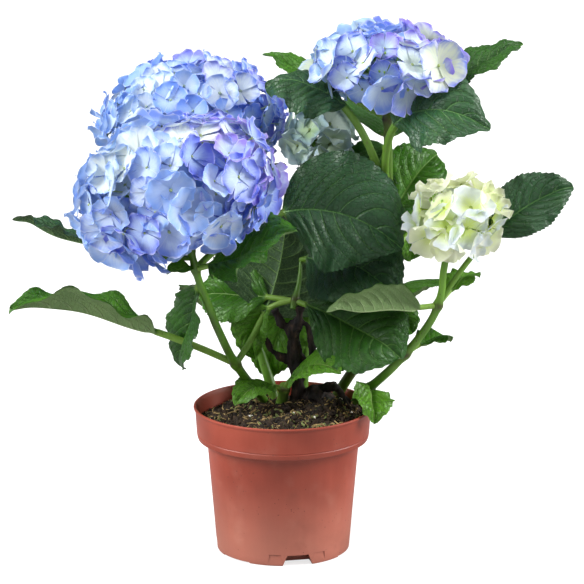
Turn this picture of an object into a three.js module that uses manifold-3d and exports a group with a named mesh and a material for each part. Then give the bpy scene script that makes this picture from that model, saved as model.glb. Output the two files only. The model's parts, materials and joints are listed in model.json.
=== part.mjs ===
// A mophead hydrangea in a round nursery pot: pot, compost, woody base, green stems, five flower
// heads and the leaves with their stalks. Millimetres, +Z up, origin at the middle of the pot's flat
// underside. The front of the plant looks along -Y.

import * as THREE from 'three';
import { mergeVertices } from 'three/addons/utils/BufferGeometryUtils.js';
import Module from 'manifold-3d';

const GAP = 0.3;

// The pot: a tapered body under a wider, stepped collar, on three feet with a drainage notch in each.
const POT = {
  height: 116, rimRadius: 70, lipDepth: 1.6, wall: 1.3, floor: 2.2, sides: 32,
  collarHeight: 26, collarFootRadius: 67, bodyTopRadius: 59.7, baseRadius: 52,
};
const NOTCHES = { count: 3, firstAngle: 13, height: 9, topWidth: 17, footWidth: 24, depth: 15 };
const FEET = { gapAngle: 33, lift: 1.2, depth: 5 };
const SOIL = { level: 103.5, mound: 3.5, rings: [0.4, 0.8] };

// Each stem runs from the compost to its flower head through a few points, tapering as it goes.
const STEMS = {
  left: { foot: 3.9, tip: 2.9,
    route: [[-12, 38, 106], [-40, -12, 157], [-69, -45, 243], [-72, -50, 262]] },
  backLeft: { foot: 4.2, tip: 3,
    route: [[-6, 48, 106], [-30, 60, 180], [-58, 74, 250], [-68, 78, 290]] },
  centre: { foot: 2.6, tip: 1.9,
    route: [[9, 9, 196], [13, 20, 212], [14, 32, 228]] },
  back: { foot: 3.6, tip: 2.4,
    route: [[16, 55, 106], [20, 66, 170], [25, 58, 235], [25, 46, 298]] },
  top: { foot: 4.4, tip: 3,
    route: [[38, 44, 106], [68, 20, 160], [82, 5, 219], [82, 5, 275], [80, 5, 365]] },
  right: { foot: 3.6, tip: 2.6,
    route: [[44, 22, 106], [70, -2, 132], [96, -20, 164], [120, -30, 203], [124, -30, 255]] },
  shoot: { foot: 5, tip: 3.2,
    route: [[-2, 27, 105.5], [0, 19, 118], [2, 12, 130]] },
};
const STEM_SIDES = 7;

// The dead, woody base: a short trunk with stubs, and the knotted crown of old wood beside it.
const WOOD = {
  stubSides: 5,
  trunk: { foot: 7.2, tip: 4.8,
    route: [[12, 22, 105.5], [12, 15, 124], [10, 12, 145], [8, 10, 174]] },
  limbs: [
    { route: [[8, 10, 171], [-1, 10, 179], [-7, 10, 190]], foot: 4.4, tip: 3.4 },
    { route: [[8, 10, 171], [12, 9, 181], [13, 8, 194]], foot: 4.6, tip: 3.6 },
    { route: [[9, 12, 146], [-7, 12, 155], [-14, 12, 167]], foot: 4.2, tip: 2 },
    { route: [[13, 15, 130], [20, 11, 146], [23, 7, 163], [18, 8, 179], [11, 9, 177]], foot: 4.2, tip: 3 },
    { route: [[12, 21, 114], [26, 12, 125], [42, 3, 129], [50, -7, 116]], foot: 4.8, tip: 2.8 },
    { route: [[12, 21, 112], [24, 4, 122], [36, -8, 114]], foot: 4.4, tip: 2.6 },
  ],
  knots: [
    { centre: [30, 20, 112], radii: [17, 15, 13] },
    { centre: [46, 12, 114], radii: [11, 11, 10] },
    { centre: [35, -6, 110], radii: [14, 12, 10] },
  ],
};

// Flower heads: uneven domes, rounder above than below. lean lifts the +X side, in degrees.
const HEADS = {
  flower_head_front: { centre: [-80, -66, 303], radii: [86, 64, 59],
    lean: 19, under: 0.95, colour: 0x8f9be8 },
  flower_head_back: { centre: [-72, 76, 324], radii: [80, 68, 55],
    lean: 4, under: 0.9, colour: 0x7f9fdd },
  flower_head_top: { centre: [79, 5, 384], radii: [67, 62, 36],
    lean: 0, under: 0.85, colour: 0xa3b4ee },
  flower_head_cream: { centre: [133, -30, 273], radii: [40, 37, 34],
    lean: 0, under: 0.9, colour: 0xe9f0cf },
  flower_head_pale: { centre: [27, 42, 320], radii: [32, 31, 30],
    lean: 0, under: 0.9, colour: 0xa9bfae },
};
const HEAD_UNEVENNESS = 0.045;

// A leaf grows from a stem at a share of its length and reaches its tip along an arched spine. bow is
// the way the arch rises, face the way the upper side looks, fold the angle that lifts the two halves,
// and stalk the bare share of the spine.
const LEAF = { width: 60, arch: 8, face: [0, 0, 1], fold: 18, stalk: 0.3 };
const LEAVES = {
  leaf_left_long: { stem: 'left', at: 0.36, tip: [-210, -30, 207],
    width: 66, arch: 8, face: [0, 0.1, 1], fold: 48, stalk: 0.36 },
  leaf_left_far: { stem: 'left', at: 0.95, tip: [-206, -5, 272],
    width: 36, arch: -10, face: [0.1, 0.1, 1], stalk: 0.4 },
  leaf_left_hanging: { stem: 'left', at: 0.8, tip: [-84, 6, 142],
    width: 42, arch: 0, face: [-0.8, -0.7, 0.3], stalk: 0.08 },
  leaf_left_under: { stem: 'left', at: 0.86, tip: [6, -98, 284],
    width: 62, arch: -4, face: [0, -0.6, 1], stalk: 0.14 },
  leaf_left_inner: { stem: 'left', at: 0.36, tip: [2, 36, 250],
    width: 104, arch: -12, face: [0.1, 1, 0.1], fold: 8, stalk: 0.4 },
  leaf_left_young: { stem: 'left', at: 0.86, tip: [-88, -62, 238],
    width: 18, arch: 2, face: [0, -0.5, 1], stalk: 0.1 },
  leaf_centre_high: { stem: 'left', at: 0.86, tip: [92, -28, 248],
    width: 90, arch: 37, bow: [0, 0.2, 1], face: [0, -1, 0.4], stalk: 0.42 },
  leaf_centre_mid: { stem: 'centre', at: 0.95, tip: [88, -36, 212],
    width: 80, arch: 12, face: [0, -0.8, 0.6], stalk: 0.06 },
  leaf_centre_low: { stem: 'centre', at: 0.03, tip: [90, -46, 168],
    width: 74, arch: 4, face: [0.1, -1, 0.6], fold: 10, stalk: 0.1 },
  leaf_centre_left: { stem: 'centre', at: 0.02, tip: [-68, 50, 192],
    width: 54, arch: 2, face: [0, -0.9, 0.6], stalk: 0.28 },
  leaf_centre_hanging: { stem: 'centre', at: 0.06, tip: [-22, 20, 146],
    width: 34, arch: 16, face: [-0.5, -1, 0.3], fold: 30, stalk: 0.3 },
  leaf_back_inner: { stem: 'back', at: 0.5, tip: [-11, 56, 120],
    width: 50, arch: 8, face: [0, -1, 0.2], stalk: 0.2 },
  leaf_rim: { stem: 'right', at: 0.2, tip: [71, -38, 112],
    width: 32, arch: 8, face: [0.4, -1, 0.4], stalk: 0.1 },
  leaf_soil_right: { stem: 'shoot', at: 0.8, tip: [43, -54, 160],
    width: 40, arch: 6, face: [-0.2, -0.5, 0.9], stalk: 0.12 },
  leaf_soil_left: { stem: 'shoot', at: 0.7, tip: [-38, -15, 121],
    width: 32, arch: 8, face: [0, 0.1, 1], stalk: 0.2 },
  leaf_right_pale: { stem: 'right', at: 0.73, tip: [33, -64, 214],
    width: 60, arch: -3, face: [0, 0.6, 0.8], fold: 36, stalk: 0.16 },
  leaf_right_small: { stem: 'right', at: 0.73, tip: [151, 15, 219],
    width: 28, arch: 4, stalk: 0.3 },
  leaf_right_low: { stem: 'right', at: 0.46, tip: [131, 10, 167],
    width: 34, arch: 4, stalk: 0.3 },
  leaf_right_high: { stem: 'right', at: 0.73, tip: [224, -10, 294],
    width: 48, arch: 16, bow: [-0.2, 0, 1], face: [0.2, -1, 0.7], stalk: 0.42 },
  leaf_right_behind: { stem: 'top', at: 0.62, tip: [101, 34, 222],
    width: 46, arch: 10, face: [0.2, -1, 0.3], stalk: 0.15 },
  leaf_right_hanging: { stem: 'top', at: 0.36, tip: [101, 4, 172],
    width: 28, arch: 4, face: [0.2, -1, 0.4], stalk: 0.1 },
  leaf_top_right: { stem: 'top', at: 0.92, tip: [185, 50, 398],
    width: 42, arch: 0, face: [0, -0.25, 1], stalk: 0.3 },
  leaf_top_left: { stem: 'top', at: 0.92, tip: [-15, 60, 388],
    width: 28, arch: 0, face: [0, -0.3, 1], stalk: 0.3 },
  leaf_top_front_left: { stem: 'top', at: 0.67, tip: [-15, -10, 373],
    width: 58, arch: 41, bow: [0.24, -0.32, 0.9], face: [0, -0.4, 1], fold: -14, stalk: 0.46 },
  leaf_top_front_right: { stem: 'top', at: 0.67, tip: [158, -45, 347],
    width: 70, arch: 50, bow: [-0.58, -0.1, 0.8], face: [0.1, -0.8, 0.7], fold: 8, stalk: 0.42 },
  leaf_top_inner: { stem: 'top', at: 0.84, tip: [72, 40, 260],
    width: 52, arch: 14, face: [-0.3, -1, 0.3], stalk: 0.1 },
  leaf_top_middle: { stem: 'top', at: 0.62, tip: [122, 44, 308],
    width: 58, arch: 6, face: [0, -1, 0.4], stalk: 0.2 },
  leaf_behind_top: { stem: 'top', at: 0.76, tip: [84, 140, 322],
    width: 84, arch: 18, face: [0, 0.5, 1] },
  leaf_behind_right: { stem: 'top', at: 0.5, tip: [148, 108, 246],
    width: 78, arch: 20, face: [0.4, 0.4, 1] },
  leaf_behind_right_low: { stem: 'top', at: 0.3, tip: [100, 118, 172],
    width: 76, arch: 18, face: [0.2, 0.6, 1] },
  leaf_behind_middle: { stem: 'back', at: 0.62, tip: [60, 172, 222],
    width: 92, arch: 22, face: [0.2, 0.7, 1] },
  leaf_behind_centre: { stem: 'back', at: 0.62, tip: [-26, 174, 206],
    width: 92, arch: 22, face: [-0.2, 0.7, 1] },
  leaf_behind_inner: { stem: 'back', at: 0.85, tip: [72, 126, 258],
    width: 72, arch: 14, face: [0.4, 0.7, 1] },
  leaf_behind_left: { stem: 'backLeft', at: 0.6, tip: [-118, 166, 236],
    width: 88, arch: 22, face: [-0.3, 0.7, 1] },
  leaf_behind_far_left: { stem: 'backLeft', at: 0.6, tip: [-150, 70, 244],
    width: 74, arch: 18, face: [-0.5, 0.1, 1], stalk: 0.35 },
  leaf_behind_high_left: { stem: 'backLeft', at: 0.84, tip: [-116, 172, 280],
    width: 80, arch: 10, face: [-0.3, 0.6, 1] },
  leaf_behind_high: { stem: 'backLeft', at: 0.84, tip: [-14, 152, 262],
    width: 76, arch: 12, face: [0.3, 0.7, 1] },
  leaf_behind_low: { stem: 'backLeft', at: 0.3, tip: [-64, 138, 160],
    width: 74, arch: 18, face: [-0.2, 0.6, 1] },
  leaf_behind_foot: { stem: 'back', at: 0.25, tip: [36, 134, 148],
    width: 72, arch: 18, face: [0, 0.7, 1] },
};
const BLADE = { halfThickness: 0.9, stalkRadius: 1.9, steps: 8, sides: 6, swell: 0.74, taper: 0.9 };

const COLOURS = {
  pot: 0x9c5344, soil: 0x2e261b, wood: 0x2b1d16, stem: 0x5f7d2e, leaf: 0x2e5a2c,
};

const wasm = await Module();
wasm.setup();

// ---- solids -------------------------------------------------------------------------------------

function mergedByPosition(geometry) {
  geometry.deleteAttribute('normal');
  geometry.deleteAttribute('uv');
  return mergeVertices(geometry, 1e-4);
}

function toSolid(geometry) {
  const merged = mergedByPosition(geometry);
  return new wasm.Manifold(new wasm.Mesh({
    numProp: 3,
    vertProperties: Float32Array.from(merged.attributes.position.array),
    triVerts: Uint32Array.from(merged.index.array),
  }));
}

function toGeometry(solid) {
  const mesh = solid.getMesh();
  const geometry = new THREE.BufferGeometry();
  geometry.setAttribute('position', new THREE.BufferAttribute(Float32Array.from(mesh.vertProperties), 3));
  geometry.setIndex(Array.from(mesh.triVerts));
  geometry.computeVertexNormals();
  return geometry;
}

function largestPiece(solid) {
  return solid.decompose().reduce((best, piece) => (piece.volume() > best.volume() ? piece : best));
}

// A capped cylinder whose vertices are carried to place(t, q, k): t runs along it from 0 to 1, and
// (q, k) is the vertex's place on the unit circle.
function sweep(steps, sides, place) {
  const geometry = new THREE.CylinderGeometry(1, 1, 1, sides, steps);
  const position = geometry.attributes.position;
  const vertex = new THREE.Vector3();
  for (let i = 0; i < position.count; i += 1) {
    vertex.fromBufferAttribute(position, i);
    const placed = place(vertex.y + 0.5, vertex.x, vertex.z);
    position.setXYZ(i, placed.x, placed.y, placed.z);
  }
  return toSolid(geometry);
}

// Normal and sideways directions round a tangent, with the normal as near to `up` as it can be.
function frameAlong(tangent, up) {
  const normal = up.clone().addScaledVector(tangent, -up.dot(tangent)).normalize();
  const side = new THREE.Vector3().crossVectors(tangent, normal);
  return { normal, side };
}

// ---- limbs --------------------------------------------------------------------------------------

function routeOf(limb) {
  return new THREE.CatmullRomCurve3(limb.route.map((point) => new THREE.Vector3(...point)));
}

function limbSolid(limb, extra = 0, sides = STEM_SIDES) {
  const route = routeOf(limb);
  const up = new THREE.Vector3(0, 1, 0);
  const steps = 2 * limb.route.length - 1;
  return sweep(steps, sides, (t, q, k) => {
    const { normal, side } = frameAlong(route.getTangentAt(t), up);
    const radius = THREE.MathUtils.lerp(limb.foot, limb.tip, t) + extra;
    return route.getPointAt(t).addScaledVector(side, q * radius).addScaledVector(normal, k * radius);
  });
}

function knotSolid(knot, extra = 0) {
  const geometry = new THREE.SphereGeometry(1, 7, 5);
  geometry.scale(...knot.radii.map((radius) => radius + extra));
  geometry.translate(...knot.centre);
  return toSolid(geometry);
}

function woodSolid(extra = 0) {
  const pieces = [
    limbSolid(WOOD.trunk, extra),
    ...WOOD.limbs.map((limb) => limbSolid(limb, extra, WOOD.stubSides)),
    ...WOOD.knots.map((knot) => knotSolid(knot, extra)),
  ];
  return pieces.reduce((joined, piece) => joined.add(piece));
}

// ---- flower heads -------------------------------------------------------------------------------

function headSolid(head, extra = 0) {
  const sides = head.radii[0] > 50 ? 18 : 12;
  const geometry = new THREE.SphereGeometry(1, sides, Math.round(sides * 0.6));
  const position = geometry.attributes.position;
  const vertex = new THREE.Vector3();
  for (let i = 0; i < position.count; i += 1) {
    vertex.fromBufferAttribute(position, i);
    const wave = Math.sin(5 * vertex.x + head.centre[0]) * Math.cos(6 * vertex.y + 4 * vertex.z);
    vertex.multiplyScalar(1 + HEAD_UNEVENNESS * wave);
    if (vertex.y < 0) vertex.y *= head.under;
    position.setXYZ(i, vertex.x, vertex.y, vertex.z);
  }
  geometry.rotateX(Math.PI / 2);
  geometry.scale(...head.radii.map((radius) => radius + extra));
  geometry.rotateY(THREE.MathUtils.degToRad(-head.lean));
  geometry.translate(...head.centre);
  return toSolid(geometry);
}

// ---- leaves -------------------------------------------------------------------------------------

// Half the blade's width at a share of its length: widest before the middle, drawn out to a point.
function outline(share) {
  const { swell, taper } = BLADE;
  const peak = swell / (swell + taper);
  const shape = (x) => x ** swell * (1 - x) ** taper;
  return shape(share) / shape(peak);
}

function leafSolid(entry, extra = 0) {
  const leaf = { ...LEAF, ...entry };
  const foot = routeOf(STEMS[leaf.stem]).getPointAt(leaf.at);
  const tip = new THREE.Vector3(...leaf.tip);
  const chord = tip.clone().sub(foot);
  const along = chord.clone().normalize();
  const up = leaf.bow ? new THREE.Vector3(...leaf.bow) : frameAlong(along, new THREE.Vector3(0, 0, 1)).normal;
  const face = new THREE.Vector3(...leaf.face);
  const fold = THREE.MathUtils.degToRad(leaf.fold);
  return sweep(BLADE.steps, BLADE.sides, (t, q, k) => {
    const tangent = chord.clone().addScaledVector(up, 4 * leaf.arch * (1 - 2 * t)).normalize();
    const { normal, side } = frameAlong(tangent, face);
    const share = THREE.MathUtils.clamp((t - leaf.stalk) / (1 - leaf.stalk), 0, 1);
    const blade = 0.5 * leaf.width * outline(share);
    const half = Math.max(blade, t > leaf.stalk ? 0.6 : BLADE.stalkRadius) + extra;
    const thick = (t > leaf.stalk ? BLADE.halfThickness : BLADE.stalkRadius) + extra;
    return foot.clone().addScaledVector(chord, t).addScaledVector(up, 4 * leaf.arch * t * (1 - t))
      .addScaledVector(side, q * half * Math.cos(fold))
      .addScaledVector(normal, Math.abs(q) * blade * Math.sin(fold) + k * thick);
  });
}

// ---- pot and compost ----------------------------------------------------------------------------

function lathe(profile) {
  const points = profile.map(([radius, height]) => new THREE.Vector2(radius, height));
  const geometry = new THREE.LatheGeometry(points, POT.sides);
  geometry.rotateX(Math.PI / 2);
  return geometry;
}

const collarFoot = POT.height - POT.collarHeight;
const shoulder = collarFoot - 4;

function wedge(angle, inner, outer, bottom, top, footWidth, topWidth) {
  const shape = new THREE.Shape([
    new THREE.Vector2(-footWidth / 2, bottom), new THREE.Vector2(footWidth / 2, bottom),
    new THREE.Vector2(topWidth / 2, top), new THREE.Vector2(-topWidth / 2, top),
  ]);
  const geometry = new THREE.ExtrudeGeometry(shape, { depth: outer - inner, bevelEnabled: false });
  geometry.rotateX(Math.PI / 2);
  geometry.translate(0, -inner, 0);
  geometry.rotateZ(THREE.MathUtils.degToRad(angle));
  return toSolid(geometry);
}

// One angle for each foot's notch, turned from the front (-Y) towards +X.
function notchAngles() {
  return Array.from({ length: NOTCHES.count }, (_, i) => NOTCHES.firstAngle + (360 / NOTCHES.count) * i);
}

// The raised floor over a drainage notch, as a tunnel that is open outwards.
function tunnelSolid(angle, extra = 0) {
  const wall = POT.wall + extra;
  const inner = POT.baseRadius - NOTCHES.depth - wall;
  return wedge(angle, inner, POT.baseRadius - POT.wall / 2, POT.floor / 2, NOTCHES.height + wall,
    NOTCHES.footWidth + 2 * wall, NOTCHES.topWidth + 2 * wall);
}

function notchSolid(angle) {
  return wedge(angle, POT.baseRadius - NOTCHES.depth, POT.baseRadius + 5, -1, NOTCHES.height,
    NOTCHES.footWidth, NOTCHES.topWidth);
}

function footGapSolid(angle) {
  const width = 2 * POT.baseRadius * Math.sin(THREE.MathUtils.degToRad(FEET.gapAngle / 2));
  return wedge(angle, POT.baseRadius - FEET.depth, POT.baseRadius + 5, -1, FEET.lift, width, width);
}

function potSolid() {
  const { rimRadius, lipDepth, wall, floor } = POT;
  let pot = toSolid(lathe([
    [0, 0], [POT.baseRadius - 1.4, 0], [POT.baseRadius, 1.4], [POT.bodyTopRadius, shoulder],
    [POT.bodyTopRadius + 1.5, collarFoot - 0.8], [POT.collarFootRadius - 0.8, collarFoot],
    [POT.collarFootRadius, collarFoot + 1.5], [rimRadius - 0.8, POT.height - lipDepth - 0.8],
    [rimRadius, POT.height - lipDepth], [rimRadius, POT.height - 0.5], [rimRadius - 0.5, POT.height],
    [rimRadius - 0.8 - wall, POT.height], [POT.collarFootRadius - wall, collarFoot + 1.5],
    [POT.bodyTopRadius - wall, shoulder + 1.5], [POT.baseRadius - wall, floor], [0, floor],
  ]));
  for (const angle of notchAngles()) {
    pot = pot.add(tunnelSolid(angle)).subtract(notchSolid(angle));
    pot = pot.subtract(footGapSolid(angle + 180 / NOTCHES.count));
  }
  return pot;
}

function soilSolid() {
  const inset = POT.wall + GAP;
  const slope = (POT.rimRadius - POT.collarFootRadius) / POT.collarHeight;
  const edge = POT.collarFootRadius + (SOIL.level - collarFoot) * slope - inset;
  const rise = (share) => SOIL.level + SOIL.mound * (1 - share) * (0.6 + 0.4 * Math.cos(9 * share));
  let soil = toSolid(lathe([
    [0, POT.floor + GAP], [POT.baseRadius - inset, POT.floor + GAP],
    [POT.bodyTopRadius - inset, shoulder + 1.5 + GAP],
    [POT.collarFootRadius - inset - 0.2, collarFoot + 1.5 + GAP], [edge - 0.3, SOIL.level - 1.5],
    ...SOIL.rings.toReversed().map((share) => [edge * share, rise(share)]), [0, rise(0)],
  ]));
  for (const angle of notchAngles()) soil = soil.subtract(tunnelSolid(angle, GAP));
  return soil;
}

// ---- the plant ----------------------------------------------------------------------------------

const plant = new THREE.Group();
const placed = [];

// Adds a solid cut clear of every solid placed before it; grown is the same shape, GAP larger.
function plantSolid(name, solid, grown, colour, roughness) {
  let clear = solid;
  const box = clear.boundingBox();
  for (const other of placed) {
    const reach = other.boundingBox();
    const apart = [0, 1, 2].some((i) => reach.min[i] > box.max[i] || reach.max[i] < box.min[i]);
    if (!apart) clear = clear.subtract(other);
  }
  const material = new THREE.MeshStandardMaterial({ color: colour, roughness, metalness: 0 });
  const mesh = new THREE.Mesh(toGeometry(largestPiece(clear)), material);
  mesh.name = name;
  plant.add(mesh);
  placed.push(grown);
}

plantSolid('pot', potSolid(), potSolid(), COLOURS.pot, 0.55);
const soil = soilSolid();
plantSolid('compost', soil, soil, COLOURS.soil, 1);
for (const [name, head] of Object.entries(HEADS)) {
  plantSolid(name, headSolid(head), headSolid(head, GAP), head.colour, 0.7);
}
plantSolid('woody_base', woodSolid(), woodSolid(GAP), COLOURS.wood, 0.95);
for (const [name, stem] of Object.entries(STEMS)) {
  const label = name.replace(/[A-Z]/g, (letter) => `_${letter.toLowerCase()}`);
  plantSolid(`stem_${label}`, limbSolid(stem), limbSolid(stem, GAP), COLOURS.stem, 0.6);
}
for (const [name, leaf] of Object.entries(LEAVES)) {
  plantSolid(name, leafSolid(leaf), leafSolid(leaf, GAP), COLOURS.leaf, 0.45);
}

export default plant;
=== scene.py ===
"""Looks of a potted mophead hydrangea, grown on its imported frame.

Every piece takes its place from the frame's nodes: the stems from the middle of the frame's stems,
each leaf from its stem to the far end of the frame's leaf, each flower head from the frame's dome.
Lengths are in metres, and the front of the plant looks along -Y.
"""

import json
import logging
import math
from dataclasses import dataclass
from enum import Enum

import bmesh
import bpy
import numpy as np
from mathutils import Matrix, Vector

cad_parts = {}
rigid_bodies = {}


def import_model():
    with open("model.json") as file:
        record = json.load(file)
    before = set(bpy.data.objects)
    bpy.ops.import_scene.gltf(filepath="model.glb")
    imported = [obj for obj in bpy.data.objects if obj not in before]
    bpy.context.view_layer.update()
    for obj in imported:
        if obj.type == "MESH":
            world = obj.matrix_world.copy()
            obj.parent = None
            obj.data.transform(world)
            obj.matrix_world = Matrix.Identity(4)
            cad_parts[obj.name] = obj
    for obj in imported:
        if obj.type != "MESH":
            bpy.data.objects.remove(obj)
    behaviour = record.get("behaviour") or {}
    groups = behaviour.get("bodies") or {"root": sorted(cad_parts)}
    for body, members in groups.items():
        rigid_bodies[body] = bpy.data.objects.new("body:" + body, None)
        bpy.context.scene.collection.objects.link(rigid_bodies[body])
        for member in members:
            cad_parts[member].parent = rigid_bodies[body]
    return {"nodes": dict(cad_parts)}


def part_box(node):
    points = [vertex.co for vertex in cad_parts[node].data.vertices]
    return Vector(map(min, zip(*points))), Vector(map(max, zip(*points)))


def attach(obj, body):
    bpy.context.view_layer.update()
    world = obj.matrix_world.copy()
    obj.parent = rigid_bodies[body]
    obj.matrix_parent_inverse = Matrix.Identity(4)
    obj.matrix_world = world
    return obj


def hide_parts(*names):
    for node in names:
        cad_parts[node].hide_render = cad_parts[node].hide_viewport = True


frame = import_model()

LOG = logging.getLogger("hydrangea")
Triple = tuple[float, float, float]
Socket = bpy.types.NodeSocket
Solid = tuple[np.ndarray, list[np.ndarray]]
BODY = "root"
ATLAS = "OFBake"
ATLAS_SIDE = 4


# ---- colours and node trees ---------------------------------------------------------------------


def paint(code: str) -> tuple[float, float, float, float]:
    """Turns a six-digit display colour into the linear colour that shaders take."""
    channels = [int(code[i:i + 2], 16) / 255 for i in (0, 2, 4)]
    linear = [c / 12.92 if c <= 0.04045 else ((c + 0.055) / 1.055) ** 2.4 for c in channels]
    return (*linear, 1.0)


class Tree:
    """Adds nodes to one shader or geometry tree and links them."""

    def __init__(self, tree: bpy.types.NodeTree) -> None:
        """Works on the tree, from empty."""
        self.tree = tree
        tree.nodes.clear()

    def feed(self, socket: Socket, value: object) -> None:
        """Links a socket to the input, or sets the input's own value."""
        if isinstance(value, bpy.types.NodeSocket):
            self.tree.links.new(value, socket)
        else:
            socket.default_value = value

    def add(self, kind: str, inputs: dict | None = None, **settings: object) -> bpy.types.Node:
        """Adds one node.

        Args:
            kind: the node's type.
            inputs: values or sockets for its inputs, by name or number.
            settings: the node's own settings.

        Returns:
            The new node.
        """
        node = self.tree.nodes.new(kind)
        for name, value in settings.items():
            setattr(node, name, value)
        for key, value in (inputs or {}).items():
            self.feed(node.inputs[key], value)
        return node

    def math(self, operation: str, *values: object) -> Socket:
        """A sum, product or other scalar operation."""
        return self.add("ShaderNodeMath", dict(enumerate(values)), operation=operation).outputs[0]

    def plus(self, first: object, second: object) -> Socket:
        """The sum of two values."""
        return self.math("ADD", first, second)

    def minus(self, first: object, second: object) -> Socket:
        """The first value less the second."""
        return self.math("SUBTRACT", first, second)

    def times(self, first: object, second: object) -> Socket:
        """The product of two values."""
        return self.math("MULTIPLY", first, second)

    def line(self, value: object, slope: object, start: object) -> Socket:
        """The value times a slope, plus a start."""
        return self.math("MULTIPLY_ADD", value, slope, start)

    def vector(self, operation: str, *values: object) -> Socket:
        """A vector operation, whose result is a number for a dot product or a length."""
        node = self.add("ShaderNodeVectorMath", dict(enumerate(values)), operation=operation)
        return node.outputs["Value" if operation in ("DOT_PRODUCT", "LENGTH") else "Vector"]

    def scaled(self, vector: Socket, factor: object) -> Socket:
        """A vector times a number."""
        return self.add("ShaderNodeVectorMath", {0: vector, "Scale": factor},
                        operation="SCALE").outputs[0]

    def parts(self, vector: Socket) -> tuple[Socket, Socket, Socket]:
        """The three parts of a vector."""
        return tuple(self.add("ShaderNodeSeparateXYZ", {0: vector}).outputs)

    def whole(self, *parts: object) -> Socket:
        """A vector from its parts."""
        return self.add("ShaderNodeCombineXYZ", dict(enumerate(parts))).outputs[0]

    def step(self, low: float, high: float, value: Socket) -> Socket:
        """0 below low, 1 above high, smooth between them."""
        node = self.add("ShaderNodeMapRange", {"Value": value, "From Min": low, "From Max": high},
                        interpolation_type="SMOOTHSTEP")
        return node.outputs[0]

    def blend(self, factor: object, first: object, second: object) -> Socket:
        """Two colours mixed by a factor."""
        return self.add("ShaderNodeMix", {0: factor, 6: first, 7: second},
                        data_type="RGBA").outputs[2]

    def tinge(self, colour: object, code: str, where: Socket, share: float) -> Socket:
        """The colour with a share of a display colour over it, where the mask is 1."""
        return self.blend(self.times(where, share), colour, paint(code))

    def ramp(self, factor: Socket, stops: list[tuple[float, str]], how: str = "LINEAR") -> Socket:
        """A colour that runs through the stops, each a place from 0 to 1 and a display colour."""
        node = self.add("ShaderNodeValToRGB", {0: factor})
        band = node.color_ramp
        band.interpolation = how
        while len(band.elements) < len(stops):
            band.elements.new(0.5)
        for element, (place, code) in zip(band.elements, stops):
            element.position = place
            element.color = paint(code)
        return node.outputs[0]

    def noise(self, vector: Socket, scale: object, detail: float = 3.0) -> Socket:
        """Soft noise from 0 to 1."""
        node = self.add("ShaderNodeTexNoise", {"Vector": vector, "Scale": scale, "Detail": detail})
        return node.outputs[0]


class Surface(Tree):
    """A material under construction."""

    def __init__(self, name: str) -> None:
        """Makes the material and its object coordinates."""
        self.material = bpy.data.materials.new(name)
        self.material.use_nodes = True
        super().__init__(self.material.node_tree)
        self.place = self.add("ShaderNodeTexCoord").outputs["Object"]

    def stretched(self, vector: Socket, scale: Triple) -> Socket:
        """The coordinates, scaled by a factor along each axis."""
        return self.add("ShaderNodeMapping", {"Vector": vector, "Scale": scale}).outputs[0]

    def attribute(self, name: str) -> tuple[Socket, Socket, Socket]:
        """The three parts of a vector attribute."""
        return self.parts(self.add("ShaderNodeAttribute", attribute_name=name).outputs["Vector"])

    def specks(self, vector: Socket, scale: float, radius: float, patches: float,
               least: float) -> Socket:
        """Round specks that gather in patches.

        Args:
            vector: the coordinates that the specks follow.
            scale: how many cells a metre holds, each with one speck.
            radius: the radius of a speck as a share of its cell.
            patches: the scale of the noise that places the patches.
            least: the noise above which specks are kept.

        Returns:
            1 on a speck, 0 elsewhere.
        """
        cells = self.add("ShaderNodeTexVoronoi", {"Vector": vector, "Scale": scale}).outputs[0]
        return self.times(self.math("LESS_THAN", cells, radius),
                          self.math("GREATER_THAN", self.noise(self.place, patches), least))

    def bump(self, height: Socket, strength: float, distance: float) -> Socket:
        """A bumped normal."""
        node = self.add("ShaderNodeBump", {"Height": height, "Strength": strength,
                                           "Distance": distance})
        return node.outputs[0]

    def finish(self, colour: object, roughness: object, normal: Socket | None = None,
               through: object | None = None, share: float = 0.0) -> bpy.types.Material:
        """Ends the material in a principled shader, with light let through if asked.

        Args:
            colour: base colour.
            roughness: roughness.
            normal: bumped normal.
            through: the colour of light that shines through the piece.
            share: how much of the light shines through.

        Returns:
            The material.
        """
        inputs = {"Base Color": colour, "Roughness": roughness}
        if normal is not None:
            inputs["Normal"] = normal
        shader = self.add("ShaderNodeBsdfPrincipled", inputs).outputs[0]
        if through is not None:
            lit = self.add("ShaderNodeBsdfTranslucent", {"Color": through}).outputs[0]
            shader = self.add("ShaderNodeMixShader", {0: share, 1: shader, 2: lit}).outputs[0]
        self.add("ShaderNodeOutputMaterial", {"Surface": shader})
        return self.material


# ---- meshes -------------------------------------------------------------------------------------


def make_mesh(name: str, points: np.ndarray, faces: list[np.ndarray]) -> bpy.types.Mesh:
    """Builds a smooth-shaded mesh from arrays.

    Args:
        name: the mesh's name.
        points: one row for each vertex.
        faces: arrays of faces, each array with one number of corners.

    Returns:
        The mesh.
    """
    mesh = bpy.data.meshes.new(name)
    corners = np.concatenate([f.ravel() for f in faces]).astype(np.int32)
    sizes = np.concatenate([np.full(len(f), f.shape[1]) for f in faces])
    mesh.vertices.add(len(points))
    mesh.vertices.foreach_set("co", np.asarray(points, np.float32).ravel())
    mesh.loops.add(len(corners))
    mesh.loops.foreach_set("vertex_index", corners)
    mesh.polygons.add(len(sizes))
    starts = np.concatenate([[0], np.cumsum(sizes)[:-1]]).astype(np.int32)
    mesh.polygons.foreach_set("loop_start", starts)
    mesh.update(calc_edges=True)
    return mesh


def add_values(mesh: bpy.types.Mesh, name: str, values: np.ndarray) -> None:
    """Stores one vector for each vertex as an attribute."""
    attribute = mesh.attributes.new(name, "FLOAT_VECTOR", "POINT")
    attribute.data.foreach_set("vector", np.asarray(values, np.float32).ravel())


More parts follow.
